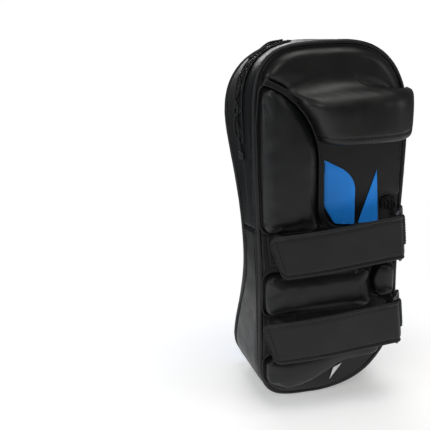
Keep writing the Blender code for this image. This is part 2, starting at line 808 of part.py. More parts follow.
def make_arm_side(materials):
    leather = materials["leather"]
    foam = materials["foam"]
    for name, outline, rise in (
        ("top_panel", top_panel_outline(), TOP_PANEL_RISE),
        ("upper_cushion", upper_cushion_outline(), CUSHION_RISE),
        ("middle_cushion", middle_cushion_outline(), CUSHION_RISE),
        ("side_cushion", side_cushion_outline(), CUSHION_RISE),
        ("lower_cushion", lower_cushion_outline(), CUSHION_RISE),
    ):
        make_cushion(name, outline, rise, CUSHION_EDGE, leather, foam)
    bed = level_loops(hand_panel_outline(), pad_levels(HAND_PANEL_RISE, HAND_PANEL_EDGE, 0.0))
    loft("hand_panel", bed, materials["leather_soft"])

    on_bed = HAND_PANEL_RISE + GAP
    panel = [(0.0085, 0.2770, 0.0), (0.0085, 0.2270, 0.0160), (-0.0040, 0.2060, 0.0080)]
    panel += [(-0.0262, 0.2040, 0.0), (-0.0262, 0.2440, 0.0), (-0.0240, 0.2520, 0.0)]
    panel += [(-0.0190, 0.2595, 0.0), (-0.0120, 0.2650, 0.0)]
    make_accent("blue_accent_panel", panel[::-1], on_bed, ACCENT_SKIN, materials["blue"])
    wedge = [(-0.0500, 0.2620, 0.0), (-0.0300, 0.2045, 0.0), (-0.0530, 0.2080, 0.0)]
    make_accent("blue_accent_wedge", wedge, on_bed, ACCENT_SKIN, materials["blue"])
    sliver = [(-0.0165, 0.0375, 0.0), (-0.0065, 0.0335, 0.0), (-0.0025, 0.0195, 0.0), (-0.0100, 0.0345, 0.0)]
    on_cover = REAR_SKIN_RISE + GAP
    make_accent("white_accent", [sliver[0], sliver[1], sliver[2]], on_cover, ACCENT_SKIN, materials["white"])


# ---- grip ---------------------------------------------------------------------------------------


def grip_path():
    """(x, rise, thickness) stations of the grip's middle line, from its inner to its outer end."""
    span = GRIP_OUTER_X - GRIP_INNER_X
    shape = ((0.0, 0.25), (0.02, 0.45), (0.07, 0.70), (0.16, 0.90), (0.30, 0.985), (0.50, 1.0))
    shape += ((0.68, 0.985), (0.82, 0.92), (0.92, 0.76), (0.975, 0.52), (1.0, 0.22))
    path = []
    for along, height in shape:
        thickness = mix(GRIP_END_THICKNESS, GRIP_THICKNESS, smooth((height - 0.25) / 0.70))
        path.append((GRIP_INNER_X + span * along, GRIP_RISE * height, thickness))
    return path


def path_frames(path):
    """For each (x, rise) station: its place and the unit vector away from the arm, in the x-y plane."""
    frames = []
    for i, (x, rise, *_) in enumerate(path):
        before = path[max(i - 1, 0)]
        after = path[min(i + 1, len(path) - 1)]
        along = Vector((after[0] - before[0], after[1] - before[1])).normalized()
        frames.append((Vector((x, rise)), Vector((-along.y, along.x))))
    return frames


def grip_loops(inset, low_share=-1.0):
    """Cross loops of the grip, drawn in by inset; low_share cuts it off across its thickness."""
    loops = []
    path = grip_path()
    for (place, away), (_, _, thickness) in zip(path_frames(path), path):
        loop = []
        for k in range(12):
            turn = 2 * math.pi * k / 12
            z = (GRIP_HEIGHT / 2 - inset) * signed_power(math.cos(turn), 0.55)
            t = max(signed_power(math.sin(turn), 0.55), low_share)
            spot = place - away * ((thickness / 2 - inset) * t)
            loop.append(Vector((spot.x, REAR_Y + spot.y, GRIP_CENTRE_Z + z)))
        loops.append(loop)
    return loops


def make_grip(materials):
    outer = grip_loops(0.0)
    inner = grip_loops(GRIP_SKIN)
    loft("handle_cover", outer + inner[::-1], materials["leather"], cap="ring")
    loft("handle_foam", grip_loops(GRIP_SKIN + 2 * GAP, low_share=-0.25), materials["foam"])


# ---- straps -------------------------------------------------------------------------------------


def strap_space(centre_z):
    """Maps (u, rise, v) of a strap, which runs along u and is wide along v, into the object's space."""
    along = Vector((math.cos(STRAP_TILT), 0.0, -math.sin(STRAP_TILT)))
    across = Vector((math.sin(STRAP_TILT), 0.0, math.cos(STRAP_TILT)))
    origin = Vector((0.0, REAR_Y, centre_z))

    def place(u, rise, v):
        return origin + along * u + across * v + Vector((0.0, rise, 0.0))

    return place


def sheet(name, space, path, widths, thickness, material, pivot=None):
    """A band of even thickness along (u, rise) points; widths are the (low, high) v at each point."""
    loops = []
    for (centre, away), (low, high) in zip(path_frames(path), widths):
        outer = centre + away * (thickness / 2)
        inner = centre - away * (thickness / 2)
        loops.append(
            [space(outer.x, outer.y, low), space(outer.x, outer.y, high),
             space(inner.x, inner.y, high), space(inner.x, inner.y, low)]
        )
    return loft(name, loops, material, pivot=pivot)


def base_rise(u):
    """Rise of the strap's inner layer: low in the slot, bowed over the forearm, down to the ring."""
    ring_rise = RING_BAR[1] - RING_WIRE - GAP - STRAP_THICKNESS / 2
    slot_rise = REAR_SKIN_RISE + GAP + STRAP_THICKNESS / 2
    if u > 0.045:
        return mix(BASE_BOW - 0.0030, slot_rise, smooth((u - 0.045) / (BASE_SLOT_X - 0.006 - 0.045)))
    if u > 0.0:
        return BASE_BOW - 0.0030 * (u / 0.045) ** 2
    return mix(BASE_BOW, ring_rise, smooth(u / RING_BAR[0]))


def flap_rise(u):
    """Rise of the outer layer: clear of the patches over the forearm, falling towards the tab's tip."""
    ring_rise = RING_BAR[1] + RING_WIRE + GAP + STRAP_THICKNESS / 2
    middle = BASE_BOW + STRAP_THICKNESS + 2 * PATCH_THICKNESS + 4 * GAP
    if u < 0.0:
        return mix(middle, ring_rise, smooth(u / RING_BAR[0]))
    return middle - 0.0075 * (u / UPPER_TAB_X) ** 2


def flap_path(tip_u):
    """Round the ring's bar, then back over the forearm to the tip of the tab."""
    bar_u, bar_rise = RING_BAR
    bend = RING_WIRE + GAP + STRAP_THICKNESS / 2
    path = []
    for degrees in (270, 240, 210, 180, 150, 120, 90):
        turn = math.radians(degrees)
        path.append((bar_u + bend * math.cos(turn), bar_rise + bend * math.sin(turn)))
    for share in (0.12, 0.25, 0.38, 0.50, 0.62, 0.74, 0.84, 0.91, 0.96, 0.99, 1.0):
        u = mix(bar_u, tip_u, share)
        path.append((u, flap_rise(u)))
    return path


def flap_widths(path, tip_u):
    """Full width, then a slanted, rounded tab: its upper corner reaches further than its lower one."""
    half = FLAP_WIDTH / 2
    slant = TAB_SLANT
    radius = TAB_RADIUS
    widths = []
    for u, rise in path:
        low = -half
        high = half
        before_low = (tip_u - slant) - u
        if u > 0.0 and before_low < radius:
            reach = radius - before_low
            low = -half + radius - math.sqrt(max(radius**2 - min(reach, radius) ** 2, 0.0))
            if reach > radius:
                low = -half + radius + (reach - radius) * (FLAP_WIDTH - 2.0 * radius) / slant
        before_high = tip_u - u
        if u > 0.0 and before_high < radius * 0.7:
            reach = radius * 0.7 - before_high
            high = half - radius * 0.7 + math.sqrt(max((radius * 0.7) ** 2 - reach**2, 0.0))
        widths.append((min(low, high - 0.004), high))
    return widths


def make_strap(name, centre_z, tip_u, materials):
    space = strap_space(centre_z)
    bar_u, bar_rise = RING_BAR
    anchor_u, anchor_rise = ANCHOR_BAR
    ring_pivot = make_pivot(f"{name}_ring_axis", space(anchor_u, anchor_rise, 0.0))
    flap_pivot = make_pivot(f"{name}_flap_axis", space(bar_u, bar_rise, 0.0), ring_pivot)

    fold_room = RING_WIRE + GAP + STRAP_THICKNESS + 3 * GAP
    base_us = [BASE_SLOT_X, BASE_SLOT_X - 0.006, 0.0600, 0.0570, 0.0535, 0.0500, 0.0450, 0.0350, 0.0200]
    base_us += [0.0, -0.0200, -0.0400, -0.0520, bar_u + fold_room]
    base = [(u, base_rise(u)) for u in base_us][::-1]
    half = BASE_WIDTH / 2
    widths = [(-half, half)] * len(base)
    sheet(f"{name}_strap_base", space, base, widths, STRAP_THICKNESS, materials["webbing"])

    path = flap_path(tip_u)
    sheet(f"{name}_strap_flap", space, path, flap_widths(path, tip_u), STRAP_THICKNESS,
          materials["leather"], flap_pivot)

    patch_us = [-0.022, -0.010, 0.0, 0.010, 0.020, 0.030, 0.040]
    patch_half = PATCH_WIDTH / 2
    patch_widths = [(-patch_half, patch_half)] * len(patch_us)
    lift = STRAP_THICKNESS / 2 + GAP + PATCH_THICKNESS / 2
    loop_path = [(u, base_rise(u) + lift) for u in patch_us]
    hook_path = [(u, flap_rise(u) - lift) for u in patch_us]
    sheet(f"{name}_loop_patch", space, loop_path, patch_widths, PATCH_THICKNESS, materials["hook"])
    sheet(f"{name}_hook_patch", space, hook_path, patch_widths, PATCH_THICKNESS,
          materials["hook"], flap_pivot)
    make_ring(f"{name}_ring", space, materials["steel"], ring_pivot)
    make_anchor(f"{name}_elastic_anchor", space, centre_z, materials["webbing"])


def make_ring(name, space, material, pivot):
    """A round-wire rectangular ring: one long bar holds the strap, the other sits in the anchor."""
    bar = Vector(RING_BAR)
    anchor = Vector(ANCHOR_BAR)
    across = (anchor - bar).normalized()
    length = (anchor - bar).length
    half = FLAP_WIDTH / 2 + RING_SIDE_ROOM + RING_WIRE
    corner = 0.0030
    outline = fillet(
        [(0.0, half, corner), (length, half, corner), (length, -half, corner), (0.0, -half, corner)], steps=4
    )
    sides = 8
    loops = []
    for (s, v), out in zip(outline, normals_of(outline)):
        loop = []
        for k in range(sides):
            turn = 2 * math.pi * k / sides
            spot = bar + across * (s + out.x * RING_WIRE * math.cos(turn))
            lift = Vector((across.y, -across.x)) * (RING_WIRE * math.sin(turn))
            loop.append(space(spot.x + lift.x, spot.y + lift.y, v + out.y * RING_WIRE * math.cos(turn)))
        loops.append(loop)
    loft(name, loops, material, cap="ring", pivot=pivot)


def make_anchor(name, space, centre_z, material):
    """The loop that holds the ring's outer bar, from its foot on the rear cover round the bar."""
    bar_u, bar_rise = ANCHOR_BAR
    bend = RING_WIRE + GAP + ANCHOR_THICKNESS / 2
    foot = (ANCHOR_FOOT_MARGIN - rear_half_width(centre_z), REAR_SKIN_RISE + GAP)
    path = [foot, (mix(foot[0], bar_u + bend, 0.5) + 0.0005, mix(foot[1], bar_rise, 0.5))]
    for degrees in (-25, 15, 55, 95, 135, 175, 215, 250):
        turn = math.radians(degrees)
        path.append((bar_u + bend * math.cos(turn), bar_rise + bend * math.sin(turn)))
    half = ANCHOR_WIDTH / 2
    sheet(name, space, path, [(-half, half)] * len(path), ANCHOR_THICKNESS, material)


# ---- the whole object ---------------------------------------------------------------------------


def main():
    for obj in list(bpy.data.objects):
        bpy.data.objects.remove(obj, do_unlink=True)
    materials = make_materials()
    make_side_wall(materials)
    make_piping("rear_piping", rear_seam, materials["leather_soft"])
    make_piping("front_piping", front_seam, materials["leather"])
    make_front_cover(materials)
    make_rear_cover(materials)
    make_fillings(materials)
    make_closure(materials)
    make_arm_side(materials)
    make_grip(materials)
    make_strap("upper", UPPER_STRAP_Z, UPPER_TAB_X, materials)
    make_strap("lower", LOWER_STRAP_Z, LOWER_TAB_X, materials)


def make_materials():
    return {
        "leather": make_material("black_leather", (0.012, 0.014, 0.017), 0.42),
        "leather_soft": make_material("black_leather_soft", (0.016, 0.016, 0.017), 0.46),
        "blue": make_material("blue_leather", (0.015, 0.215, 0.690), 0.40),
        "white": make_material("white_leather", (0.82, 0.83, 0.84), 0.45),
        "foam": make_material("grey_foam", (0.20, 0.21, 0.22), 0.90),
        "dense_foam": make_material("dark_foam", (0.07, 0.07, 0.08), 0.88),
        "webbing": make_material("black_webbing", (0.020, 0.020, 0.022), 0.75),
        "hook": make_material("hook_tape", (0.025, 0.025, 0.027), 0.80),
        "steel": make_material("nickel_steel", (0.55, 0.56, 0.58), 0.28, 1.0),
        "lace": make_material("black_lace", (0.020, 0.021, 0.024), 0.70),
    }


main()
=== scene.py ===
"""Looks of the thai pad: leather, padding, straps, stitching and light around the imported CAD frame.

Metres, in the CAD row frame: +Z up, the striking face towards -Y, the arm side towards +Y. A rise is
measured from the plane of the rear seam towards the straps, a depth the other way. A station is a place
along the seam outline (0 at the top centre, growing down the +X side), and a share runs across the side
wall from the rear seam (0) to the front seam (1).
"""

import math

import bmesh
import bpy
import numpy as np
from mathutils import Euler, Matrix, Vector, noise


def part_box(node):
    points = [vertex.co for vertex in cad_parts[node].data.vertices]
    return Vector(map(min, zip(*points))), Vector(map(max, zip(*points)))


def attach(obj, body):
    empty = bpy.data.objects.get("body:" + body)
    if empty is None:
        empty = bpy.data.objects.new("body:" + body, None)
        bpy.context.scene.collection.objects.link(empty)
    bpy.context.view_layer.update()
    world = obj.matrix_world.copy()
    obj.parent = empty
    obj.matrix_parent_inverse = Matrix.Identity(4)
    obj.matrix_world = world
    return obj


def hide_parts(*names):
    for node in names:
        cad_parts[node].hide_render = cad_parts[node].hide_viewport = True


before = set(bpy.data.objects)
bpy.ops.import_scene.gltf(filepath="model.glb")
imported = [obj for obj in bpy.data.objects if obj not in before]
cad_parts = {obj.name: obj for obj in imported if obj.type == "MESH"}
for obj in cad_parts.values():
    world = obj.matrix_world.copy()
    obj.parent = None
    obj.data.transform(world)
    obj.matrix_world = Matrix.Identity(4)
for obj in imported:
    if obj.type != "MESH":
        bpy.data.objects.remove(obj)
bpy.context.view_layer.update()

# ---- sizes shared with the CAD ------------------------------------------------------------------

PIPING = 0.0025
REAR_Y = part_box("rear_piping")[1].y - PIPING
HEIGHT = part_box("rear_piping")[1].z
BULGE = 0.0025
BULGE_SHARE = 0.15
LEATHER = 0.0012
FINE = 4
TOP_STEPS, SIDE_STEPS, LOW_STEPS, FOOT_STEPS = 9 * FINE, 4 * FINE, 5 * FINE, 7 * FINE
CROSS = TOP_STEPS + SIDE_STEPS
WAIST_Z, CROSS_Z, CAP_Z = 0.196, 0.205, 0.295
WAIST_SPREAD = 0.115
FOOT_MIDDLE = 0.022
NEAR_FOOT, FAR_FOOT = (0.030, 0.055, 2.5), (-0.014, 0.095, 1.8)
FRONT_WIDTHS, REAR_WIDTHS, REAR_PINCH = (0.166, 0.183), (0.155, 0.165), 0.002
SIDE_DEPTHS, SIDE_PINCH = (0.098, 0.110), 0.0757
FACE_DEPTHS, FACE_PINCH = (0.108, 0.118), 0.034
TUCK, TUCK_HEIGHT = 0.012, 0.032
FRONT_TOP = HEIGHT - BULGE - 0.015
FRONT_POWER, REAR_POWER, REAR_FAR_POWER = 2.4, 4.2, 2.6
FACE_FLAT, FACE_ROUND_POWER = 0.24, 2.6
SEAM_STITCH_INSET = 0.0062
SLIT_SHARE, SLIT_WIDTH, STAY_WIDTH = 0.42, 0.0030, 0.0085
CLOSURE = (1 * FINE, 9 * FINE)
EYELET_PAIRS, EYELET_END_MARGIN = 6, 0.010
EYELET_RADIUS, EYELET_WIDE, EYELET_HIGH = 0.0023, 0.00085, 0.00065
LACE_WIDE, LACE_HIGH = 0.0021, 0.0018
LACE_LOW, LACE_CROSSED, TAIL_DROP, TAIL_HALF_SPACING = 0.0038, 0.0019, 0.020, 0.0018
ARC_X, ARC_Z, ARC_R, ARC_SEAM = 0.1080, 0.2760, 0.0932, 0.0032
HOOD_ARC_R = ARC_R + ARC_SEAM * 0.6
CUSHION_RISE, CUSHION_SHOULDER, CUSHION_CORNER, SIDE_CORNER = 0.0150, 0.0048, 0.0085, 0.0090
UPPER_LOW, MIDDLE_TOP, MIDDLE_LOW, SIDE_LOW, LOWER_TOP = 0.2015, 0.1555, 0.1075, 0.1175, 0.057
SIDE_SEAM_X, SIDE_SEAM_BOW = -0.0525, 0.0060
CLOTH_FRAMES, CLOTH_CAP = 20, 0.0030
GRIP_Z, GRIP_TALL, GRIP_THICK, GRIP_THIN = 0.3215, 0.0455, 0.0165, 0.0066
GRIP_RISE, GRIP_OUTER_X = 0.0340, -0.0758
GRIP_HEM_Z, GRIP_OUTSIDE = 0.3062, 0.62
WEB_ROWS = 8
BAND_SPAN = 0.12
TILT = math.radians(5.0)
STRAP_Z = {"upper": 0.1875, "lower": 0.0900}
TAB_X = {"upper": 0.0720, "lower": 0.0800}
FLAP_WIDTH, BASE_WIDTH, STRAP_THICK = 0.0490, 0.0350, 0.0024
RING_BAR, ANCHOR_BAR, WIRE = (-0.0670, 0.0300), (-0.0780, 0.0130), 0.0018
BASE_BOW, BASE_CREST_U, BASE_SLOT_U = 0.0290, 0.045, 0.068
PATCH_PAIR = 0.0016
TAB_SLANT, TAB_RADIUS, TAB_HIGH_RADIUS = 0.0070, 0.0110, 0.007
ANCHOR_FOOT_MARGIN, ANCHOR_HALF = 0.0066, 0.0165
GAP = 0.0004


# ---- small helpers ------------------------------------------------------------------------------


def mix(a, b, t):
    return a + (b - a) * t


def smooth(t):
    t = min(max(t, 0.0), 1.0)
    return t * t * (3.0 - 2.0 * t)


def wave(x, y, z, scale, seed=0.0):
    return noise.noise(Vector((x * scale + seed, y * scale - seed, z * scale + 2 * seed)))


def settle(obj, body, replaces):
    if body:
        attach(obj, body)
    if replaces:
        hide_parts(*replaces)
    return obj


def bmesh_object(name, bm, material, sharp=None):
    mesh = bpy.data.meshes.new(name)
    bmesh.ops.recalc_face_normals(bm, faces=bm.faces)
    bm.to_mesh(mesh)
    bm.free()
    mesh.materials.append(material)
    mesh.shade_smooth()
    if sharp is not None:
        mesh.set_sharp_from_angle(angle=math.radians(sharp))
    obj = bpy.data.objects.new(name, mesh)
    bpy.context.scene.collection.objects.link(obj)
    return obj


def new_object(name, verts, faces, material, body="pad", replaces=(), slot=None, sharp=None):
    raw = bpy.data.meshes.new("raw")
    raw.from_pydata([tuple(v) for v in verts], [], faces)
    bm = bmesh.new()
    bm.from_mesh(raw)
    bpy.data.meshes.remove(raw)
    bmesh.ops.remove_doubles(bm, verts=bm.verts, dist=1e-6)
    return settle(bmesh_object(name, bm, material, sharp), body, replaces)


def grid_faces(rows, cols, wrap_rows=False, wrap_cols=True):
    faces = []
    for r in range(rows if wrap_rows else rows - 1):
        for c in range(cols if wrap_cols else cols - 1):
            r2, c2 = (r + 1) % rows, (c + 1) % cols
            faces.append((r * cols + c, r * cols + c2, r2 * cols + c2, r2 * cols + c))
    return faces


def grid_object(name, grid, material, wrap_rows=False, wrap_cols=False, caps=False, **rest):
    rows, cols = len(grid), len(grid[0])
    faces = grid_faces(rows, cols, wrap_rows, wrap_cols)
    if caps:
        faces.append(tuple(range(cols)))
        faces.append(tuple(range((rows - 1) * cols, rows * cols)))
    return new_object(name, [p for row in grid for p in row], faces, material, **rest)


def thicken(obj, thickness=LEATHER):
    """Gives a sheet a real thickness behind its surface."""
    solid = obj.modifiers.new("Thickness", "SOLIDIFY")
    solid.thickness = thickness
    solid.offset = -1.0
    return obj


def loop_sheet(name, loops, material, thickness, **rest):
    """A sheet of closed loops, with the last one filled by strips that run across it."""
    count = len(loops[0])
    faces = grid_faces(len(loops), count)
    base = (len(loops) - 1) * count
    half = count // 2
    faces.append((base, base + 1, base + count - 1))
    for i in range(1, half - 1):
        faces.append((base + i, base + i + 1, base + count - i - 1, base + count - i))
    faces.append((base + half - 1, base + half, base + half + 1))
    thicken(new_object(name, [p for loop in loops for p in loop], faces, material, **rest), thickness)


def repaint(mesh, material):
    mesh.materials.clear()
    mesh.materials.append(material)


def resample(points, step, closed=False):
    """Points evenly spaced by about step along a polyline."""
    chain = list(points) + ([points[0]] if closed else [])
    lengths = [0.0]
    for a, b in zip(chain, chain[1:]):
        lengths.append(lengths[-1] + (b - a).length)
    count = max(int(round(lengths[-1] / step)), 2)
    found = []
    k = 0
    for n in range(count + (0 if closed else 1)):
        want = lengths[-1] * n / count
        while k < len(lengths) - 2 and lengths[k + 1] < want:
            k += 1
        part = (want - lengths[k]) / max(lengths[k + 1] - lengths[k], 1e-9)
        found.append(chain[k].lerp(chain[k + 1], part))
    return found


def curve_through(points, steps):
    """A smooth curve through the points (Catmull-Rom)."""
    ends = [points[0] * 2 - points[1]] + list(points) + [points[-1] * 2 - points[-2]]
    made = []
    for a, b, c, d in zip(ends, ends[1:], ends[2:], ends[3:]):
        for step in range(steps):
            t = step / steps
            made.append(0.5 * (2 * b + (c - a) * t + (2 * a - 5 * b + 4 * c - d) * t * t
                               + (3 * b - a - 3 * c + d) * t**3))
    made.append(points[-1])
    return made


def sweep(name, points, ups, profile, material, closed=False, **rest):
    """A profile of (sideways, up) offsets carried along the points; ups are the surface normals there."""
    grid = []
    count = len(points)
    for i, point in enumerate(points):
        ahead = points[(i + 1) % count] if closed or i < count - 1 else point
        behind = points[i - 1] if closed or i > 0 else point
        along = (ahead - behind).normalized()
        side = along.cross(ups[i]).normalized()
        up = side.cross(along).normalized()
        shape = profile(i, point) if callable(profile) else profile
        grid.append([point + side * a + up * b for a, b in shape])
    return grid_object(name, grid, material, wrap_rows=closed, wrap_cols=True, caps=not closed, **rest)


def round_profile(width, height, count=10, power=1.0):
    made = []
    for k in range(count):
        turn = 2 * math.pi * k / count
        c, s = math.cos(turn), math.sin(turn)
        made.append((math.copysign(abs(c) ** power, c) * width / 2,
                     math.copysign(abs(s) ** power, s) * height / 2))
    return made


class Stitches:
    """Thread stitches, collected into one mesh for each body."""

    def __init__(self):
        self.parts = {}

    def run(self, body, points, ups, pitch=0.0036, length=0.0028, radius=0.00042, closed=False, lift=0.0):
        places = resample(points, pitch, closed)
        verts, faces = self.parts.setdefault(body, ([], []))
        count = len(places)
        rings = ((-0.5, 0.4, -0.9), (-0.34, 1.0, 0.2), (0.0, 1.1, 0.5), (0.34, 1.0, 0.2), (0.5, 0.4, -0.9))
        nearest = 0
        for i in range(count if closed else count - 1):
            start, end = places[i], places[(i + 1) % count]
            while (nearest + 1 < len(points)
                   and (points[nearest + 1] - start).length < (points[nearest] - start).length):
                nearest += 1
            along = (end - start).normalized()
            side = along.cross(ups[nearest]).normalized()
            up = side.cross(along)
            middle = (start + end) / 2 + up * lift
            base = len(verts)
            for offset, size, height in rings:
                centre = middle + along * (offset * length) + up * (height * radius)
                for k in range(5):
                    turn = 2 * math.pi * k / 5
                    verts.append(centre + (side * math.cos(turn) + up * math.sin(turn)) * (radius * size))
            for r in range(len(rings) - 1):
                for k in range(5):
                    low, k2 = base + r * 5, (k + 1) % 5
                    faces.append((low + k, low + k2, low + 5 + k2, low + 5 + k))
            faces.append(tuple(base + k for k in range(5)))
            faces.append(tuple(base + 20 + k for k in range(5)))

    def build(self, material, slots):
        for body, (verts, faces) in self.parts.items():
            new_object(f"stitching_{body}", verts, faces, material, body=body, slot=slots)


stitches = Stitches()


# ---- materials ----------------------------------------------------------------------------------


class Nodes:
    """A material's node tree with a Principled shader, and short calls to add to it."""

    def __init__(self, name):
        self.material = bpy.data.materials.new(name)
        self.material.use_nodes = True
        self.tree = self.material.node_tree
        self.shader = self.tree.nodes["Principled BSDF"]
        self.place = self.add("ShaderNodeTexCoord").outputs["Object"]

    def add(self, kind, **values):
        node = self.tree.nodes.new(kind)
        for key, value in values.items():
            setattr(node, key, value)
        return node

    def link(self, a, b):
        self.tree.links.new(a, b)

    def noise(self, scale, detail=3.0, rough=0.55, place=None):
        node = self.add("ShaderNodeTexNoise")
        node.inputs["Scale"].default_value = scale
        node.inputs["Detail"].default_value = detail
        node.inputs["Roughness"].default_value = rough
        self.link(place or self.place, node.inputs["Vector"])
        return node.outputs["Fac"]

    def cells(self, scale, feature="F1"):
        node = self.add("ShaderNodeTexVoronoi", feature=feature)
        node.inputs["Scale"].default_value = scale
        self.link(self.place, node.inputs["Vector"])
        return node.outputs["Distance"]

    def remap(self, value, low, high, to_low, to_high):
        node = self.add("ShaderNodeMapRange", interpolation_type="SMOOTHSTEP")
        for key, number in (("From Min", low), ("From Max", high), ("To Min", to_low), ("To Max", to_high)):
            node.inputs[key].default_value = number
        self.link(value, node.inputs["Value"])
        return node.outputs["Result"]

    def math(self, operation, a, b=None):
        node = self.add("ShaderNodeMath", operation=operation)
        for socket, value in zip(node.inputs, (a, b)):
            if value is None:
                continue
            if isinstance(value, (int, float)):
                socket.default_value = value
            else:
                self.link(value, socket)
        return node.outputs[0]

    def blend(self, share, first, second):
        node = self.add("ShaderNodeMix", data_type="RGBA")
        for socket, value in ((node.inputs["Factor"], share), (node.inputs["A"], first),
                              (node.inputs["B"], second)):
            if isinstance(value, (tuple, list)):
                socket.default_value = (*value, 1.0)
            elif isinstance(value, (int, float)):
                socket.default_value = value
            else:
                self.link(value, socket)
        return node.outputs["Result"]

    def bump(self, height, strength, distance, below=None):
        node = self.add("ShaderNodeBump")
        node.inputs["Strength"].default_value = strength
        node.inputs["Distance"].default_value = distance
        self.link(height, node.inputs["Height"])
        if below is not None:
            self.link(below, node.inputs["Normal"])
        return node.outputs["Normal"]

    def finish(self, colour, rough, normal=None, metallic=0.0, ior=1.45, sheen=0.0, coat=0.0):
        shader = self.shader
        shader.inputs["Metallic"].default_value = metallic
        shader.inputs["IOR"].default_value = ior
        shader.inputs["Sheen Weight"].default_value = sheen
        shader.inputs["Sheen Roughness"].default_value = 0.45
        shader.inputs["Coat Weight"].default_value = coat
        shader.inputs["Coat Roughness"].default_value = 0.25
        for socket, value in (("Base Color", colour), ("Roughness", rough)):
            if isinstance(value, (tuple, list)):
                shader.inputs[socket].default_value = (*value, 1.0)
            elif isinstance(value, (int, float)):
                shader.inputs[socket].default_value = value
            else:
                self.link(value, shader.inputs[socket])
        if normal is not None:
            self.link(normal, shader.inputs["Normal"])
        return self.material


def leather_look(nodes, base, rough, edge_highlight, grain=1500.0):
    """Colour, roughness and normal of embossed synthetic leather: pebbled grain, soft creases, and a painted
    highlight that lightens its convex edges.
    """
    patches = nodes.noise(9.0, 4.0)
    dark = tuple(c * 0.78 for c in base)
    light = tuple(c * 1.25 for c in base)
    colour = nodes.blend(nodes.remap(patches, 0.35, 0.68, 0.0, 1.0), dark, light)
    # Painted highlight: convex edges, found by pointiness, are blended towards a much lighter copy of the
    # base colour.
    edge = nodes.add("ShaderNodeNewGeometry").outputs["Pointiness"]
    edge_highlight_share = nodes.remap(edge, 0.525, 0.60, 0.0, edge_highlight)
    colour = nodes.blend(edge_highlight_share, colour, tuple(min(c * 3.0 + 0.03, 1.0) for c in base))
    smudge = nodes.noise(38.0, 5.0, 0.6)
    roughness = nodes.remap(smudge, 0.3, 0.72, rough - 0.05, rough + 0.07)
    pebbles = nodes.cells(grain)
    pores = nodes.noise(grain * 0.55, 2.0)
    creases = nodes.noise(120.0, 3.0, 0.5)
    normal = nodes.bump(creases, 0.10, 0.0006)
    normal = nodes.bump(pores, 0.10, 0.0002, normal)
    normal = nodes.bump(pebbles, 0.16, 0.00018, normal)
    return colour, roughness, normal


# edge_highlight sets how strongly the painted highlight lightens convex edges.
def leather(name, base, rough=0.44, edge_highlight=0.35, ior=1.40, sheen=0.0, coat=0.0):
    nodes = Nodes(name)
    colour, roughness, normal = leather_look(nodes, base, rough, edge_highlight)
    return nodes.finish(colour, roughness, normal, ior=ior, sheen=sheen, coat=coat)


def woven(name, base, pitch=0.0011, rough=0.78, fuzz=0.15):
    """Narrow webbing: crossing threads from two waves, with a little fuzz."""
    nodes = Nodes(name)
    waves = []
    for direction in ("X", "Z"):
        node = nodes.add("ShaderNodeTexWave", wave_type="BANDS", bands_direction=direction)
        node.inputs["Scale"].default_value = 1.0 / pitch / 3.2
        node.inputs["Distortion"].default_value = 0.6
        nodes.link(nodes.place, node.inputs["Vector"])
        waves.append(node.outputs["Fac"])
    threads = nodes.math("MULTIPLY", waves[0], waves[1])
    speck = nodes.noise(700.0, 3.0)
    colour = nodes.blend(nodes.remap(speck, 0.3, 0.7, 0.0, 1.0), tuple(c * 0.7 for c in base),
                         tuple(c * 1.5 for c in base))
    normal = nodes.bump(threads, 0.55, 0.0003)
    normal = nodes.bump(speck, 0.3, 0.0002, normal)
    roughness = nodes.remap(speck, 0.2, 0.8, rough - 0.06, rough + 0.08)
    return nodes.finish(colour, roughness, normal, ior=1.4, sheen=fuzz)


def hook_tape(name, base, scale):
    """The fastener's surface: rows of small loops or hooks."""
    nodes = Nodes(name)
    dots = nodes.cells(scale)
    speck = nodes.noise(scale * 0.5, 3.0)
    colour = nodes.blend(nodes.remap(dots, 0.1, 0.6, 1.0, 0.0), tuple(c * 0.6 for c in base),
                         tuple(c * 1.9 for c in base))
    normal = nodes.bump(dots, 0.7, 0.0005)
    normal = nodes.bump(speck, 0.5, 0.0004, normal)
    return nodes.finish(colour, nodes.remap(speck, 0.2, 0.8, 0.7, 0.95), normal, ior=1.4, sheen=0.25)


def metal(name, base, rough):
    nodes = Nodes(name)
    smear = nodes.noise(90.0, 4.0)
    scratch = nodes.noise(900.0, 2.0)
    colour = nodes.blend(nodes.remap(smear, 0.3, 0.7, 0.0, 1.0), tuple(c * 0.82 for c in base), base)
    roughness = nodes.remap(smear, 0.3, 0.7, rough - 0.06, rough + 0.10)
    return nodes.finish(colour, roughness, nodes.bump(scratch, 0.06, 0.0001), metallic=1.0)


# Edges of the two blue bands on each half of the face: (height, distance from the middle line) points in
# metres, first along the band's outer edge and then along its inner one.
BAND_EDGES = (
    (((0.000, 0.110), (0.026, 0.100), (0.065, 0.0845), (0.110, 0.0690), (0.158, 0.0570), (0.173, 0.0555),
      (0.201, 0.0690), (0.285, 0.0965), (0.333, 0.1000), (0.400, 0.110)),
     ((0.000, 0.098), (0.026, 0.0850), (0.098, 0.0505), (0.140, 0.0340), (0.175, 0.0270), (0.201, 0.0365),
      (0.218, 0.0425), (0.333, 0.0930), (0.345, 0.0995), (0.400, 0.110))),
    (((0.000, 0.0800), (0.009, 0.0760), (0.093, 0.0390), (0.140, 0.0200), (0.180, 0.0137), (0.218, 0.0260),
      (0.352, 0.0865), (0.400, 0.108)),
     ((0.000, 0.0560), (0.039, 0.0360), (0.093, 0.0195), (0.117, 0.0095), (0.127, 0.0000), (0.236, 0.0000),
      (0.248, 0.0110), (0.320, 0.0395), (0.352, 0.0510), (0.374, 0.0620), (0.400, 0.075))),
)


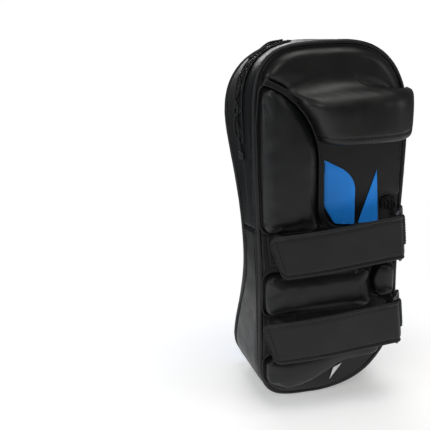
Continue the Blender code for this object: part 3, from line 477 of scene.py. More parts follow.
def band_face():
    """The striking face: black leather with the blue bands that cross as an X."""
    nodes = Nodes("face_leather")
    # The last number of each call is the strength of the painted edge highlight.
    base, roughness, normal = leather_look(nodes, (0.0048, 0.0052, 0.0058), 0.40, 0.2)
    blue, _, _ = leather_look(nodes, (0.014, 0.270, 0.900), 0.40, 0.1)
    split = nodes.add("ShaderNodeSeparateXYZ")
    nodes.link(nodes.place, split.inputs[0])
    distance = nodes.math("ABSOLUTE", split.outputs["X"])
    height = nodes.math("DIVIDE", split.outputs["Z"], HEIGHT)
    shares = []
    soft = 0.00025
    for outer, inner in BAND_EDGES:
        edges = []
        for points in (outer, inner):
            node = nodes.add("ShaderNodeFloatCurve")
            curve = node.mapping.curves[0]
            curve.points[0].location = (0.0, points[0][1] / BAND_SPAN)
            curve.points[1].location = (1.0, points[-1][1] / BAND_SPAN)
            for z, x in points[1:-1]:
                curve.points.new(z / HEIGHT, x / BAND_SPAN)
            for point in curve.points:
                point.handle_type = "AUTO_CLAMPED"
            node.mapping.update()
            nodes.link(height, node.inputs["Value"])
            edges.append(nodes.math("MULTIPLY", node.outputs[0], BAND_SPAN))
        inside = nodes.remap(nodes.math("SUBTRACT", edges[0], distance), -soft, soft, 0.0, 1.0)
        beyond = nodes.remap(nodes.math("SUBTRACT", distance, edges[1]), -soft, soft, 0.0, 1.0)
        shares.append(nodes.math("MULTIPLY", inside, beyond))
    share = nodes.math("MAXIMUM", shares[0], shares[1])
    rim = nodes.bump(share, 0.35, 0.00035, normal)
    return nodes.finish(nodes.blend(share, base, blue), roughness, rim, ior=1.40)


# The fourth number of each leather is the strength of its painted edge highlight.
BLACK = leather("side_leather", (0.0032, 0.0038, 0.0048), 0.42, 0.2, ior=1.34)
SOFT_BLACK = leather("arm_leather", (0.0052, 0.0051, 0.0050), 0.40, 0.2)
CUSHION_BLACK = leather("cushion_leather", (0.0048, 0.0052, 0.0058), 0.40, 0.2, coat=0.03)
STRAP_BLACK = leather("strap_leather", (0.0050, 0.0052, 0.0056), 0.50, 0.2)
PIPE_BLACK = leather("piping_leather", (0.0040, 0.0043, 0.0048), 0.46, 0.3)
FACE = band_face()
BLUE = leather("blue_leather_look", (0.016, 0.290, 0.960), 0.42, 0.1)
WHITE = leather("white_leather_look", (0.78, 0.79, 0.81), 0.45, 0.0)
WEB = woven("webbing_look", (0.0035, 0.0035, 0.0040))
ELASTIC = woven("elastic_look", (0.0035, 0.0035, 0.0040), 0.0016, 0.55, 0.05)
THREAD = woven("thread_look", (0.0012, 0.0012, 0.0015), 0.0005, 0.85, 0.0)
LACE = woven("lace_look", (0.0045, 0.0048, 0.0055), 0.0007, 0.7, 0.05)
HOOKS = hook_tape("hook_look", (0.010, 0.010, 0.011), 900.0)
LOOPS = hook_tape("loop_look", (0.012, 0.012, 0.013), 1500.0)
EYELET_METAL = metal("eyelet_look", (0.045, 0.047, 0.050), 0.34)
DARK_STEEL = metal("ring_look", (0.10, 0.10, 0.11), 0.36)

# ---- shape of the pad body ----------------------------------------------------------------------


def bell(z, power):
    return math.exp(-((abs(z - WAIST_Z) / WAIST_SPREAD) ** power))


def half_width(z, low, top, pinch):
    return mix(low, top, smooth((z - 0.30 * HEIGHT) / (0.45 * HEIGHT))) / 2 - pinch * bell(z, 2.0)


def front_half(z):
    return half_width(z, *FRONT_WIDTHS, 0.0)


def rear_half(z):
    return half_width(z, *REAR_WIDTHS, REAR_PINCH)


def side_depth(z):
    return mix(*SIDE_DEPTHS, z / HEIGHT) - SIDE_PINCH * bell(z, 2.6)


def face_depth(z):
    return mix(*FACE_DEPTHS, z / HEIGHT) - FACE_PINCH * bell(z, 2.0)


def rear_tuck(z):
    share = max(TUCK_HEIGHT - z, 0.0) / TUCK_HEIGHT
    return TUCK * share * share


def outline_side(width_at, top, power, foot):
    """One side of a seam as (distance from the middle, z), from the top centre down to its foot."""
    foot_x, foot_z, foot_power = foot
    side = [(0.0, top)]
    for step in range(1, TOP_STEPS):
        angle = math.pi / 2 * (1 - step / TOP_STEPS)
        z = mix(CAP_Z, top, math.sin(angle) ** (2 / power))
        side.append((width_at(z) * math.cos(angle) ** (2 / power), z))
    side += [(width_at(z), z) for z in (mix(CAP_Z, CROSS_Z, k / SIDE_STEPS) for k in range(SIDE_STEPS))]
    side += [(width_at(z), z) for z in (mix(CROSS_Z, foot_z, k / LOW_STEPS) for k in range(LOW_STEPS))]
    for step in range(FOOT_STEPS):
        angle = math.pi / 2 * step / FOOT_STEPS
        z = mix(foot_z, BULGE, math.sin(angle) ** (2 / foot_power))
        side.append((mix(foot_x, width_at(z), math.cos(angle) ** (2 / foot_power)), z))
    middle = math.copysign(FOOT_MIDDLE, foot_x)
    return side + [(mix(foot_x, middle, k / FINE), BULGE) for k in range(FINE)]


def seam_outline(width_at, top, power, far_power):
    """A closed seam, down the +X side and back up the rounder -X side."""
    near = outline_side(width_at, top, power, NEAR_FOOT)
    far = outline_side(width_at, top, far_power, FAR_FOOT)
    return near + [(FOOT_MIDDLE, BULGE)] + [(-x, z) for x, z in reversed(far[1:])]


def normals_of(outline):
    normals = []
    for i, after in enumerate(outline[1:] + outline[:1]):
        before = outline[i - 1]
        along = Vector((after[0] - before[0], after[1] - before[1])).normalized()
        normals.append(Vector((-along.y, along.x)))
    return normals


def inset(outline, amount):
    return [(x - n.x * amount, z - n.y * amount) for (x, z), n in zip(outline, normals_of(outline))]


REAR = seam_outline(rear_half, HEIGHT - BULGE, REAR_POWER, REAR_FAR_POWER)
FRONT = seam_outline(front_half, FRONT_TOP, FRONT_POWER, FRONT_POWER)
COUNT = len(REAR)
OUT = [Vector((n.x, 0.0, n.y)) for n in normals_of(REAR)]


def rear_seam(i):
    x, z = REAR[i % COUNT]
    return Vector((x, REAR_Y - rear_tuck(z), z))


def front_seam(i):
    x, z = FRONT[i % COUNT]
    return Vector((x, REAR_Y - side_depth(z), z))


def at_station(station, value_at):
    low = math.floor(station)
    share = station - low
    return value_at(low) * (1.0 - share) + value_at(low + 1) * share if share > 1e-9 else value_at(low)


def wall_width(station):
    return at_station(station, lambda i: (front_seam(i) - rear_seam(i)).length)


def wall_out(station):
    return at_station(station, lambda i: OUT[i % COUNT]).normalized()


def wall_point(station, share, lift=0.0):
    bulge = BULGE * min(1.0, min(share, 1.0 - share) / BULGE_SHARE)

    def whole(i):
        return rear_seam(i).lerp(front_seam(i), share) + OUT[i % COUNT] * (bulge + lift)

    return at_station(station, whole)


def wall_skin(station, share, lip=None):
    """The leather's own surface: rolled into its seams and lips, with shallow puckers beside them."""
    width = wall_width(station)
    seam = min(share, 1.0 - share) * width
    place = wall_point(station, share)
    lift = -0.0013 * (1.0 - smooth(seam / 0.0045))
    pucker = wave(place.x, 0.3 * place.y, place.z, 95.0, 3.0) * 0.00055
    lift += pucker * (1.0 - smooth((seam - 0.002) / 0.014))
    lift += wave(place.x, place.y, place.z, 16.0, 7.0) * 0.0007 * smooth(seam / 0.02)
    if lip is not None:
        lift -= 0.0010 * (1.0 - smooth(abs(share - lip) * width / 0.0028))
    lift -= 0.0012 * (1.0 - smooth(abs(place.z - CROSS_Z) / 0.0032))
    return place + wall_out(station) * lift


def spread(low, high, count, ends=2.0):
    """Numbers from low to high, closer together at both ends."""
    made = []
    for k in range(count + 1):
        t = 2.0 * k / count - 1.0
        made.append(mix(low, high, 0.5 + 0.5 * math.copysign(1.0 - (1.0 - abs(t)) ** ends, t)))
    return made


def lip_share(station, side):
    opened = CLOSURE[0] <= station <= CLOSURE[1]
    return SLIT_SHARE + side * (SLIT_WIDTH if opened else GAP) / 2 / wall_width(station)


def make_walls():
    near = [0.02, 0.10, 0.20, 0.35, 0.55, 0.80]
    upper = [-CROSS + n for n in near] + list(range(-CROSS + 1, CROSS)) + [CROSS - n for n in near[::-1]]
    edge = PIPING * 0.55
    for name, side in (("rear", -1), ("front", 1)):
        grid = []
        for s in upper:
            lip = lip_share(s, side)
            seam = edge / wall_width(s)
            low, high = (seam, lip) if side < 0 else (lip, 1.0 - seam)
            grid.append([wall_skin(s, share, lip) for share in spread(low, high, 22)])
        thicken(grid_object(f"upper_wall_{name}", grid, BLACK, replaces=[f"upper_gusset_{name}"],
                            slot="black_leather"))
    lower = [CROSS + n for n in near] + list(range(CROSS + 1, COUNT - CROSS))
    lower += [COUNT - CROSS - n for n in near[::-1]]
    grid = []
    for s in lower:
        seam = edge / wall_width(s)
        grid.append([wall_skin(s, share) for share in spread(seam, 1.0 - seam, 36)])
    thicken(grid_object("lower_wall", grid, BLACK, replaces=["lower_gusset"], slot="black_leather"))
    for station in (CROSS + 0.55, COUNT - CROSS - 0.55):
        line = [wall_point(station, share, 0.0002) for share in spread(0.10, 0.90, 30, 1.0)]
        stitches.run("pad", line, [wall_out(station)] * len(line))


def make_piping(name, seam, replaces):
    """A welt of folded leather along a whole seam, with a faint unevenness."""
    smooth_points, ups = [], []
    for i in range(COUNT):
        smooth_points += [seam(i), (seam(i) + seam(i + 1)) / 2]
        ups += [OUT[i], (OUT[i] + OUT[(i + 1) % COUNT]).normalized()]

    def profile(i, point):
        swell = 1.0 + 0.05 * wave(point.x, point.y, point.z, 140.0, 5.0)
        return [(a * swell, b * swell) for a, b in round_profile(2 * PIPING, 2 * PIPING, 12)]

    sweep(name, smooth_points, ups, profile, PIPE_BLACK, closed=True, replaces=replaces,
          slot="black_leather")


def face_loop(spread_share, rounded):
    middle_z = FRONT_TOP / 2
    spread_z = 1.0 - (1.0 - spread_share) * FRONT_WIDTHS[1] / FRONT_TOP
    loop = []
    for x, z in FRONT:
        new_z = middle_z + (z - middle_z) * spread_z
        rim = side_depth(z) + PIPING * 0.9
        depth = mix(rim, face_depth(new_z), rounded)
        dent = wave(x * spread_share, 0.0, new_z, 13.0, 11.0) * 0.0011 * rounded
        loop.append(Vector((x * spread_share, REAR_Y - depth + dent, new_z)))
    return loop


def make_face():
    """The striking face, drawn in to its seam all round and slightly uneven from use."""
    loops = []
    power = 2 / FACE_ROUND_POWER
    for degrees in (0, 3, 7, 12, 18, 25, 33, 42, 51, 60, 69, 78, 84):
        turn = math.radians(degrees)
        loops.append(face_loop(mix(FACE_FLAT, 1.0, math.cos(turn) ** power), math.sin(turn) ** power))
    loops += [face_loop(share, 1.0) for share in (FACE_FLAT, FACE_FLAT * 2 / 3, FACE_FLAT / 3)]
    loop_sheet("striking_face", loops, FACE, 0.0016, replaces=["front_cover"], slot="black_leather")
    for from_front in (True, False):
        line = []
        for i in range(COUNT):
            share = SEAM_STITCH_INSET / wall_width(i)
            line.append(wall_point(i, 1.0 - share if from_front else share, 0.0001))
        stitches.run("pad", line, OUT, closed=True)


def plate_points(outline, rise):
    return [Vector((x, REAR_Y + rise - rear_tuck(z), z)) for x, z in outline]


def make_back_plate():
    """The rear cover, turned in at its rim beside the piping."""
    levels = ((PIPING * 0.5, 0.0002), (PIPING * 0.8, 0.0012), (PIPING + 0.0012, 0.0014),
              (PIPING + 0.004, 0.0012), (0.014, 0.0011), (0.030, 0.0010))
    loops = [plate_points(inset(REAR, a), rise) for a, rise in levels]
    loop_sheet("rear_plate", loops, SOFT_BLACK, LEATHER, replaces=["rear_cover"],
               slot="black_leather_soft")


# ---- cushions -----------------------------------------------------------------------------------


def fillet(corners, steps=6):
    """An outline from (x, z, radius) corners, with each radius drawn as a short arc."""
    outline = []
    count = len(corners)
    for i, (x, z, radius) in enumerate(corners):
        corner = Vector((x, z))
        if radius == 0.0:
            outline.append((x, z))
            continue
        back = (Vector(corners[i - 1][:2]) - corner).normalized()
        ahead = (Vector(corners[(i + 1) % count][:2]) - corner).normalized()
        half_angle = back.angle(ahead) / 2
        centre = corner + (back + ahead).normalized() * (radius / math.sin(half_angle))
        arm = corner + back * (radius / math.tan(half_angle)) - centre
        turn = arm.angle_signed(corner + ahead * (radius / math.tan(half_angle)) - centre)
        for step in range(steps + 1):
            a = -turn * step / steps
            outline.append((centre.x + arm.x * math.cos(a) - arm.y * math.sin(a),
                            centre.y + arm.x * math.sin(a) + arm.y * math.cos(a)))
    return outline


def side_x(z):
    return rear_half(z) - 0.0030


def arc_point(degrees, radius):
    turn = math.radians(degrees)
    return (ARC_X + radius * math.cos(turn), ARC_Z + radius * math.sin(turn))


def upper_cushion_outline():
    corners = [(*arc_point(180 - 59 * k / 14, ARC_R), 0.0) for k in range(15)]
    corners.append((*arc_point(111.0, ARC_R), CUSHION_CORNER))
    corners += [(side_x(0.300), 0.318, 0.0), (side_x(0.260), 0.260, 0.0)]
    corners += [(side_x(0.215), UPPER_LOW, 0.0120), (ARC_X - ARC_R, UPPER_LOW, CUSHION_CORNER)]
    return fillet(corners)


def side_seam(share):
    return SIDE_SEAM_X + SIDE_SEAM_BOW * math.sin(math.pi * share)


def middle_cushion_outline():
    top_x, low_x = side_seam(0.0) + ARC_SEAM, side_seam(1.0) + ARC_SEAM
    corners = [(top_x, MIDDLE_TOP, CUSHION_CORNER), (side_x(MIDDLE_TOP), MIDDLE_TOP, CUSHION_CORNER)]
    corners += [(side_x(MIDDLE_LOW), MIDDLE_LOW, CUSHION_CORNER), (low_x, MIDDLE_LOW, CUSHION_CORNER)]
    for share in (0.7, 0.6, 0.5, 0.4, 0.3):
        corners.append((side_seam(share) + ARC_SEAM, mix(MIDDLE_TOP, SIDE_LOW, share), 0.0))
    return fillet(corners)


def side_cushion_outline():
    outer = -side_x(SIDE_LOW) + 0.001
    corners = [(outer, MIDDLE_TOP, SIDE_CORNER), (side_seam(0.0), MIDDLE_TOP, SIDE_CORNER)]
    corners += [(side_seam(s), mix(MIDDLE_TOP, SIDE_LOW, s), 0.0) for s in (0.25, 0.375, 0.5, 0.625, 0.75)]
    corners += [(side_seam(1.0), SIDE_LOW, SIDE_CORNER), (outer, SIDE_LOW, SIDE_CORNER)]
    return fillet(corners)


def lower_cushion_outline():
    left_x, right_x = -0.0580, side_x(LOWER_TOP)
    corners = [(left_x, LOWER_TOP + math.tan(TILT) * (right_x - left_x), CUSHION_CORNER)]
    corners += [(right_x, LOWER_TOP, CUSHION_CORNER), (right_x - 0.001, 0.0280, 0.0110)]
    low = [(0.0480, 0.0175), (0.0260, 0.0225), (0.0030, 0.0340), (-0.0130, 0.0428), (-0.0350, 0.0464)]
    curve = curve_through([Vector((x, 0.0, z)) for x, z in low], 4)
    corners += [(p.x, p.z, 0.0) for p in curve]
    corners += [(left_x, 0.0490, CUSHION_CORNER)]
    return fillet(corners)


def cushion_levels(rise):
    """(inset, height) of a cushion's loops, from the top of its rounded shoulder to its seam."""
    made = []
    for degrees in (90, 75, 60, 45, 30, 15, 0):
        turn = math.radians(degrees)
        height = rise - CUSHION_SHOULDER + CUSHION_SHOULDER * math.sin(turn)
        made.append((CUSHION_SHOULDER * (1 - math.cos(turn)), height))
    return made + [(0.0, 0.0055), (0.0, 0.0030), (0.0003, 0.0006)]


def resample_flat(outline, step):
    points = resample([Vector((x, 0.0, z)) for x, z in outline], step, True)
    return [(p.x, p.z) for p in points]


def simulate(obj, pinned):
    """Blows the cover up against its own stitched edge, and keeps the result as the mesh."""
    group = obj.vertex_groups.new(name="sewn")
    group.add(pinned, 1.0, "REPLACE")
    before = np.array([v.co for v in obj.data.vertices], float)
    cloth = obj.modifiers.new("Cloth", "CLOTH")
    settings = cloth.settings
    settings.quality = 4
    settings.mass = 0.004
    settings.tension_stiffness = 14.0
    settings.compression_stiffness = 14.0
    settings.shear_stiffness = 6.0
    settings.bending_stiffness = 0.6
    settings.vertex_group_mass = "sewn"
    settings.use_pressure = True
    settings.uniform_pressure_force = 30.0
    settings.effector_weights.gravity = 0.0
    cloth.collision_settings.use_collision = False
    scene = bpy.context.scene
    cloth.point_cache.frame_start, cloth.point_cache.frame_end = 1, CLOTH_FRAMES
    for number in range(1, CLOTH_FRAMES + 1):
        scene.frame_set(number)
    result = obj.evaluated_get(bpy.context.evaluated_depsgraph_get()).to_mesh()
    after = np.array([v.co for v in result.vertices], float)
    obj.modifiers.remove(cloth)
    scene.frame_set(1)
    moved = after - before
    length = np.linalg.norm(moved, axis=1, keepdims=True)
    moved *= np.minimum(1.0, CLOTH_CAP / np.maximum(length, 1e-9))
    after = before + moved
    after[:, 1] = np.clip(after[:, 1], REAR_Y + 0.0004, REAR_Y + CUSHION_RISE + 0.0035)
    obj.data.vertices.foreach_set("co", after.astype(np.float32).ravel())
    obj.data.update()
    return float(length.max())


def puffed_cushion(name, outline):
    """A padded cushion: a closed cover on its outline, remeshed, blown up as a cloth and creased."""
    outline = resample_flat(outline, 0.003)
    loops = []
    for amount, height in cushion_levels(CUSHION_RISE - 0.0012):
        loops.append([Vector((x, REAR_Y + height, z)) for x, z in inset(outline, amount + 0.0008)])
    obj = grid_object(f"{name}_padding", loops, CUSHION_BLACK, wrap_cols=True, caps=True)
    remesh = obj.modifiers.new("Remesh", "REMESH")
    remesh.mode = "VOXEL"
    remesh.voxel_size = 0.0028
    mesh = bpy.data.meshes.new_from_object(obj.evaluated_get(bpy.context.evaluated_depsgraph_get()))
    obj.modifiers.clear()
    obj.data = mesh
    repaint(mesh, CUSHION_BLACK)
    mesh.shade_smooth()
    moved = simulate(obj, [v.index for v in mesh.vertices if v.co.y < REAR_Y + 0.0034])
    print(f"{obj.name}: the cover moved up to {moved * 1000:.2f} mm before the cap")
    shape_cushion(obj, outline)
    finish = obj.modifiers.new("Smooth", "SUBSURF")
    finish.levels = finish.render_levels = 1
    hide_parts(f"{name}_cover", f"{name}_foam")


def edge_distance(points, outline):
    """Distance from each (x, z) point to the outline."""
    a = np.array(outline)
    b = np.roll(a, -1, axis=0)
    d = b - a
    best = np.full(len(points), 1e9)
    for start, step in zip(a, d):
        rel = points - start
        t = np.clip((rel @ step) / max(step @ step, 1e-12), 0, 1)
        best = np.minimum(best, np.linalg.norm(rel - t[:, None] * step, axis=1))
    return best


def shape_cushion(obj, outline):
    """Crowns the cover towards its middle and pulls shallow creases in beside its edge."""
    co = np.array([v.co for v in obj.data.vertices], float)
    gap = edge_distance(co[:, [0, 2]], outline)
    for k, (x, y, z) in enumerate(co):
        height = y - REAR_Y
        top = smooth((height - 0.004) / (CUSHION_RISE - 0.006))
        lift = 0.0014 * smooth(gap[k] / 0.030)
        crease = wave(x, 0.0, z, 70.0, 21.0) * 0.00075 * (1.0 - smooth((gap[k] - 0.004) / 0.020))
        broad = wave(x, 0.0, z, 24.0, 31.0) * 0.0008
        co[k, 1] = y + (lift + crease + broad) * top
    obj.data.vertices.foreach_set("co", co.astype(np.float32).ravel())
    obj.data.update()


def make_cushions():
    outlines = {"upper_cushion": upper_cushion_outline, "middle_cushion": middle_cushion_outline,
                "side_cushion": side_cushion_outline, "lower_cushion": lower_cushion_outline}
    for name, outline in outlines.items():
        puffed_cushion(name, outline())
        base = plate_line(outline(), -0.0016, 0.0018)
        up = [Vector((0.0, 1.0, 0.0))] * len(base)
        sweep(f"{name}_welt", base, up, round_profile(0.0030, 0.0022, 8), PIPE_BLACK, closed=True,
              slot="black_leather")


def plate_line(outline, amount, rise):
    points = resample([Vector((x, 0.0, z)) for x, z in inset(outline, amount)], 0.002, True)
    return [Vector((p.x, REAR_Y + rise - rear_tuck(p.z), p.z)) for p in points]


# ---- hood and grip ------------------------------------------------------------------------------


NEAR_EDGE = [p for p in inset(REAR, 0.0040)[:CROSS] if p[0] >= 0.0]
FAR_EDGE = [p for p in inset(REAR, 0.0040)[::-1][:CROSS] if p[0] <= 0.0]
PANEL_EDGE = NEAR_EDGE + FAR_EDGE[::-1]
PANEL_TOP = max(z for _, z in NEAR_EDGE)
PANEL_ROWS = (0.003, 0.010, 0.022, 0.040, 0.065, 0.10, 0.14, 0.19, 0.25, 0.32, 0.40, 0.49, 0.59, 0.69, 0.79,
              0.90, 1.0)
GRIP_TURNS = [k / 40 for k in range(41)]
GRIP_LINES = {}


def edge_x(line, z):
    """x of the pad's edge at a height, along one side's line."""
    for (x0, z0), (x1, z1) in zip(line, line[1:]):
        if z1 <= z <= z0:
            return mix(x0, x1, (z0 - z) / max(z0 - z1, 1e-9))
    return line[-1][0] if z < line[-1][1] else 0.0


def hood_left(z):
    """x of the hood's left edge: the quarter-round seam, and the pad's own edge above it."""
    if z <= ARC_Z:
        return ARC_X - HOOD_ARC_R
    if z < ARC_Z + HOOD_ARC_R * math.sin(math.radians(107.5)):
        return ARC_X - math.sqrt(HOOD_ARC_R**2 - (z - ARC_Z) ** 2)
    return edge_x(NEAR_EDGE, z)


GRIP_SHAPE = ((0.0, 0.25), (0.02, 0.45), (0.07, 0.70), (0.16, 0.90), (0.30, 0.985), (0.50, 1.0),
              (0.68, 0.985), (0.82, 0.92), (0.92, 0.77))
GRIP_WRAP = ((-0.0752, 0.0200), (-0.0812, 0.0125), (-0.0850, 0.0040), (-0.0868, -0.0050), (-0.0874, -0.0140))


def grip_line(inner_x, count):
    """(x, rise, outward, thickness) along the grip from its inner end to its outer one."""
    rough = [Vector((mix(inner_x, GRIP_OUTER_X, a), GRIP_RISE * h, 0.0)) for a, h in GRIP_SHAPE]
    rough += [Vector((x, rise, 0.0)) for x, rise in GRIP_WRAP]
    curve = curve_through(rough, 8)
    fine = resample(curve, sum((b - a).length for a, b in zip(curve, curve[1:])) / count)
    made = []
    for i, p in enumerate(fine):
        along = (fine[min(i + 1, len(fine) - 1)] - fine[max(i - 1, 0)]).normalized()
        out = Vector((along.y, -along.x))
        thick = mix(GRIP_THIN, GRIP_THICK, smooth((p.y / GRIP_RISE - 0.25) / 0.70))
        made.append((p.x, p.y, out, thick))
    return made


def grip_section(t, thickness):
    """(z, outward) of the grip's outside: t from 0 at its upper crest, round the hem, to 1 inside."""
    turn = mix(math.radians(52), math.radians(-170), t)
    c, s = math.cos(turn), math.sin(turn)
    z = GRIP_TALL / 2 * math.copysign(abs(s) ** 0.62, s)
    out = thickness / 2 * math.copysign(abs(c) ** 0.55, c)
    return z, out


def panel_column(s):
    """The top panel's surface at share s across it, from its top edge to where the hood leaves it."""
    foot = hood_foot(s)
    column = []
    for part in PANEL_ROWS:
        z = mix(PANEL_TOP, foot, part)
        x = mix(hood_left(z), edge_x(FAR_EDGE, z), s)
        gap = min(panel_gap(x, z), 1.0)
        puff = 0.0105 * math.sqrt(max(1.0 - (1.0 - min(gap / 0.0095, 1.0)) ** 2, 0.0))
        puff += 0.0022 * smooth(gap / 0.030) + wave(x, 0.0, z, 22.0, 41.0) * 0.0010 * smooth(gap / 0.02)
        puff += wave(x, 0.0, z, 75.0, 43.0) * 0.0005 * (1.0 - smooth((gap - 0.004) / 0.016))
        column.append(Vector((x, REAR_Y + 0.0012 + puff, z)))
    return column


def grip_column(s):
    """The grip's outside at share s along it, with sags and the stitched groove of its hem."""
    column = []
    for t in GRIP_TURNS:
        inner_x = hood_left(min(GRIP_Z + grip_section(t, GRIP_THICK)[0], 0.345))
        x, rise, out, thick = grip_at(inner_x, s)
        z, away = grip_section(t, thick)
        if t < GRIP_OUTSIDE:
            away += wave(x, 0.0, z, 30.0, 51.0) * 0.0007 + wave(x, 0.0, z * 0.4, 110.0, 57.0) * 0.00035
            away -= 0.0007 * math.exp(-(((GRIP_Z + z) - GRIP_HEM_Z) / 0.0009) ** 2)
        column.append(Vector((x + out.x * away, REAR_Y + rise + out.y * away, GRIP_Z + z)))
    return column


def web_column(s, start, outer):
    """The hood between the panel and the grip: a curve that leaves both in their own direction."""
    end = outer[0]
    end_share = smooth((s - 0.80) / 0.16)
    lean = (outer[0] - outer[1]).normalized().lerp(Vector((0.0, -0.42, 0.91)), 1.0 - end_share)
    span = (end - start).length
    first = start + Vector((0.0, mix(0.34, 0.0, end_share), -0.94)) * span * 0.40
    second = end + lean * span * 0.36
    web = []
    for m in range(1, WEB_ROWS + 1):
        t = m / (WEB_ROWS + 1)
        web.append(start * (1 - t) ** 3 + first * 3 * t * (1 - t) ** 2
                   + second * 3 * t * t * (1 - t) + end * t**3)
    return web


def make_hood():
    """One sheet of leather: the padded top panel, and below it the hood that wraps over the grip."""
    count = 72
    columns = []
    for k in range(count + 1):
        panel, outer = panel_column(k / count), grip_column(k / count)
        columns.append(panel + web_column(k / count, panel[-1], outer) + outer)
    obj = grid_object("hood", columns, SOFT_BLACK, slot="black_leather",
                      replaces=["top_panel_cover", "top_panel_foam", "handle_cover", "handle_foam"])
    thicken(obj)
    return columns


def hood_foot(s):
    """Height at which the hood leaves the top panel: a long ramp in the middle, a notch at the far end."""
    middle = smooth(s / 0.50) * (1.0 - smooth((s - 0.66) / 0.26))
    return 0.3560 + 0.0110 * middle - 0.0100 * smooth((s - 0.82) / 0.16)


def grip_at(inner_x, s):
    """The grip's line at share s, found once for each inner end."""
    key = round(inner_x, 4)
    if key not in GRIP_LINES:
        GRIP_LINES[key] = grip_line(inner_x, 72)
    line = GRIP_LINES[key]
    return line[min(int(round(s * (len(line) - 1))), len(line) - 1)]


def panel_gap(x, z):
    """Distance from a point of the top panel to its edge: the rear outline and the quarter-round seam."""
    edge = PANEL_TOP - z + 1e-5
    edge = min(edge, float(edge_distance(np.array([[x, z]]), PANEL_EDGE)[0]))
    radius = math.hypot(x - ARC_X, z - ARC_Z) - HOOD_ARC_R
    return max(min(edge, radius if z < 0.372 else 1.0), 0.0)


def make_grip_end(columns):
    """The flat outer end of the grip."""
    rim = columns[-1][len(PANEL_ROWS) + WEB_ROWS:]
    middle = sum(rim, Vector()) / len(rim)
    sunk = [p.lerp(middle, 0.12) + Vector((0.0006, 0.0, 0.0)) for p in rim]
    count = len(rim)
    faces = [(k, (k + 1) % count, count + (k + 1) % count, count + k) for k in range(count)]
    faces += [(count + k, count + (k + 1) % count, 2 * count) for k in range(count)]
    new_object("grip_end", rim + sunk + [middle], faces, SOFT_BLACK, slot="black_leather")


def stitch_hem(columns):
    """The stitches that follow the hood's hem along the grip."""
    first = len(PANEL_ROWS) + WEB_ROWS
    line, ups = [], []
    for k in range(4, len(columns) - 2):
        part = columns[k][first:first + 28]
        best = min(range(len(part)), key=lambda n: abs(part[n].z - GRIP_HEM_Z))
        ahead = columns[k + 1][first + best] - columns[k - 1][first + best]
        up = ahead.cross(part[best + 1] - part[best - 1]).normalized()
        if up.y < 0 and abs(up.x) < 0.8:
            up = -up
        line.append(part[best] + up * 0.00005)
        ups.append(up)
    stitches.run("pad", line, ups)


# ---- border band, hand panel and accents --------------------------------------------------------


def border_path():
    """The double-stitched band: quarter round, straight down, and the U-turn under the upper strap."""
    radius = ARC_R + ARC_SEAM * 0.35
    points = [Vector((*arc_point(a, radius), 0.0)) for a in range(111, 181, 3)]
    points = [Vector((p.x, 0.0, p.y)) for p in points]
    x = ARC_X - radius
    points += [Vector((x, 0.0, z)) for z in (0.262, 0.246, 0.232)]
    for degrees in range(0, 91, 10):
        turn = math.radians(degrees)
        points.append(Vector((x - 0.0240 * (1 - math.cos(turn)), 0.0, 0.2300 - 0.0300 * math.sin(turn))))
    points += [Vector((x - 0.030, 0.0, 0.1990)), Vector((x - 0.040, 0.0, 0.1985))]
    return points


def border_rise(point):
    return 0.0122 if point.z > 0.24 else mix(0.0080, 0.0122, smooth((point.z - 0.200) / 0.04))


def make_border():
    flat = resample(border_path(), 0.0015)
    points = [Vector((p.x, REAR_Y + border_rise(p), p.z)) for p in flat]
    ups = [Vector((0.0, 1.0, 0.0))] * len(points)
    half = [(0.0009, 0.0006), (0.0016, 0.0010), (0.0025, 0.0007), (0.0031, -0.0004), (0.0030, -0.0040)]
    profile = [(-a, b) for a, b in half[::-1]] + [(0.0, 0.0011)] + half
    sweep("border_band", points, ups, profile, PIPE_BLACK, slot="black_leather")
    for side in (-0.0012, 0.0012):
        line = []
        for i, p in enumerate(points):
            along = (points[min(i + 1, len(points) - 1)] - points[max(i - 1, 0)]).normalized()
            line.append(p + along.cross(ups[i]) * side + ups[i] * 0.0007)
        stitches.run("pad", line, ups)


def hand_panel_outline():
    inner, outer = ARC_X - ARC_R - ARC_SEAM + 0.0008, -side_x(0.26)
    corners = [(outer + 0.0040, 0.3330, 0.0045), (inner, 0.3330, 0.0045), (inner, 0.2020, 0.0045)]
    corners += [(-0.0560, 0.2020, 0.0045), (-0.0560, 0.2310, 0.0045), (outer, 0.2310, 0.0045)]
    return fillet(corners)


def flat_pad(name, outline, base, rise, edge, material, replaces, crown=0.0, step=0.0025):
    """A low pad with a rounded edge, filled by a grid of faces so that it can carry creases."""
    outline = resample_flat(outline, step)
    loops = []
    for amount, height in ((0.0002, base), (0.0, mix(base, rise, 0.45)), (edge * 0.3, mix(base, rise, 0.85)),
                           (edge, rise)):
        loops.append([Vector((x, REAR_Y + height, z)) for x, z in inset(outline, amount)])
    bm = bmesh.new()
    rings = [[bm.verts.new(p) for p in loop] for loop in loops]
    for a, b in zip(rings, rings[1:]):
        for i in range(len(a)):
            j = (i + 1) % len(a)
            bm.faces.new((a[i], a[j], b[j], b[i]))
    bm.faces.new(rings[0])
    cap = bm.faces.new(rings[-1])
    result = bmesh.ops.triangulate(bm, faces=[cap])
    for _ in range(3):
        edges = [e for e in bm.edges if e.calc_length() > 0.006
                 and all(v.co.y > REAR_Y + rise - 1e-5 for v in e.verts)]
        if edges:
            bmesh.ops.subdivide_edges(bm, edges=edges, cuts=1, use_grid_fill=True)
            flat = [f for f in bm.faces if len(f.verts) > 4]
            bmesh.ops.triangulate(bm, faces=flat)
    gaps = edge_distance(np.array([[v.co.x, v.co.z] for v in bm.verts]), outline)
    for v, gap in zip(bm.verts, gaps):
        if v.co.y > REAR_Y + rise - 1e-5:
            v.co.y += crown * smooth(gap / 0.03) + wave(v.co.x, 0.0, v.co.z, 26.0, 61.0) * 0.0004
    return settle(bmesh_object(name, bm, material), "pad", replaces)


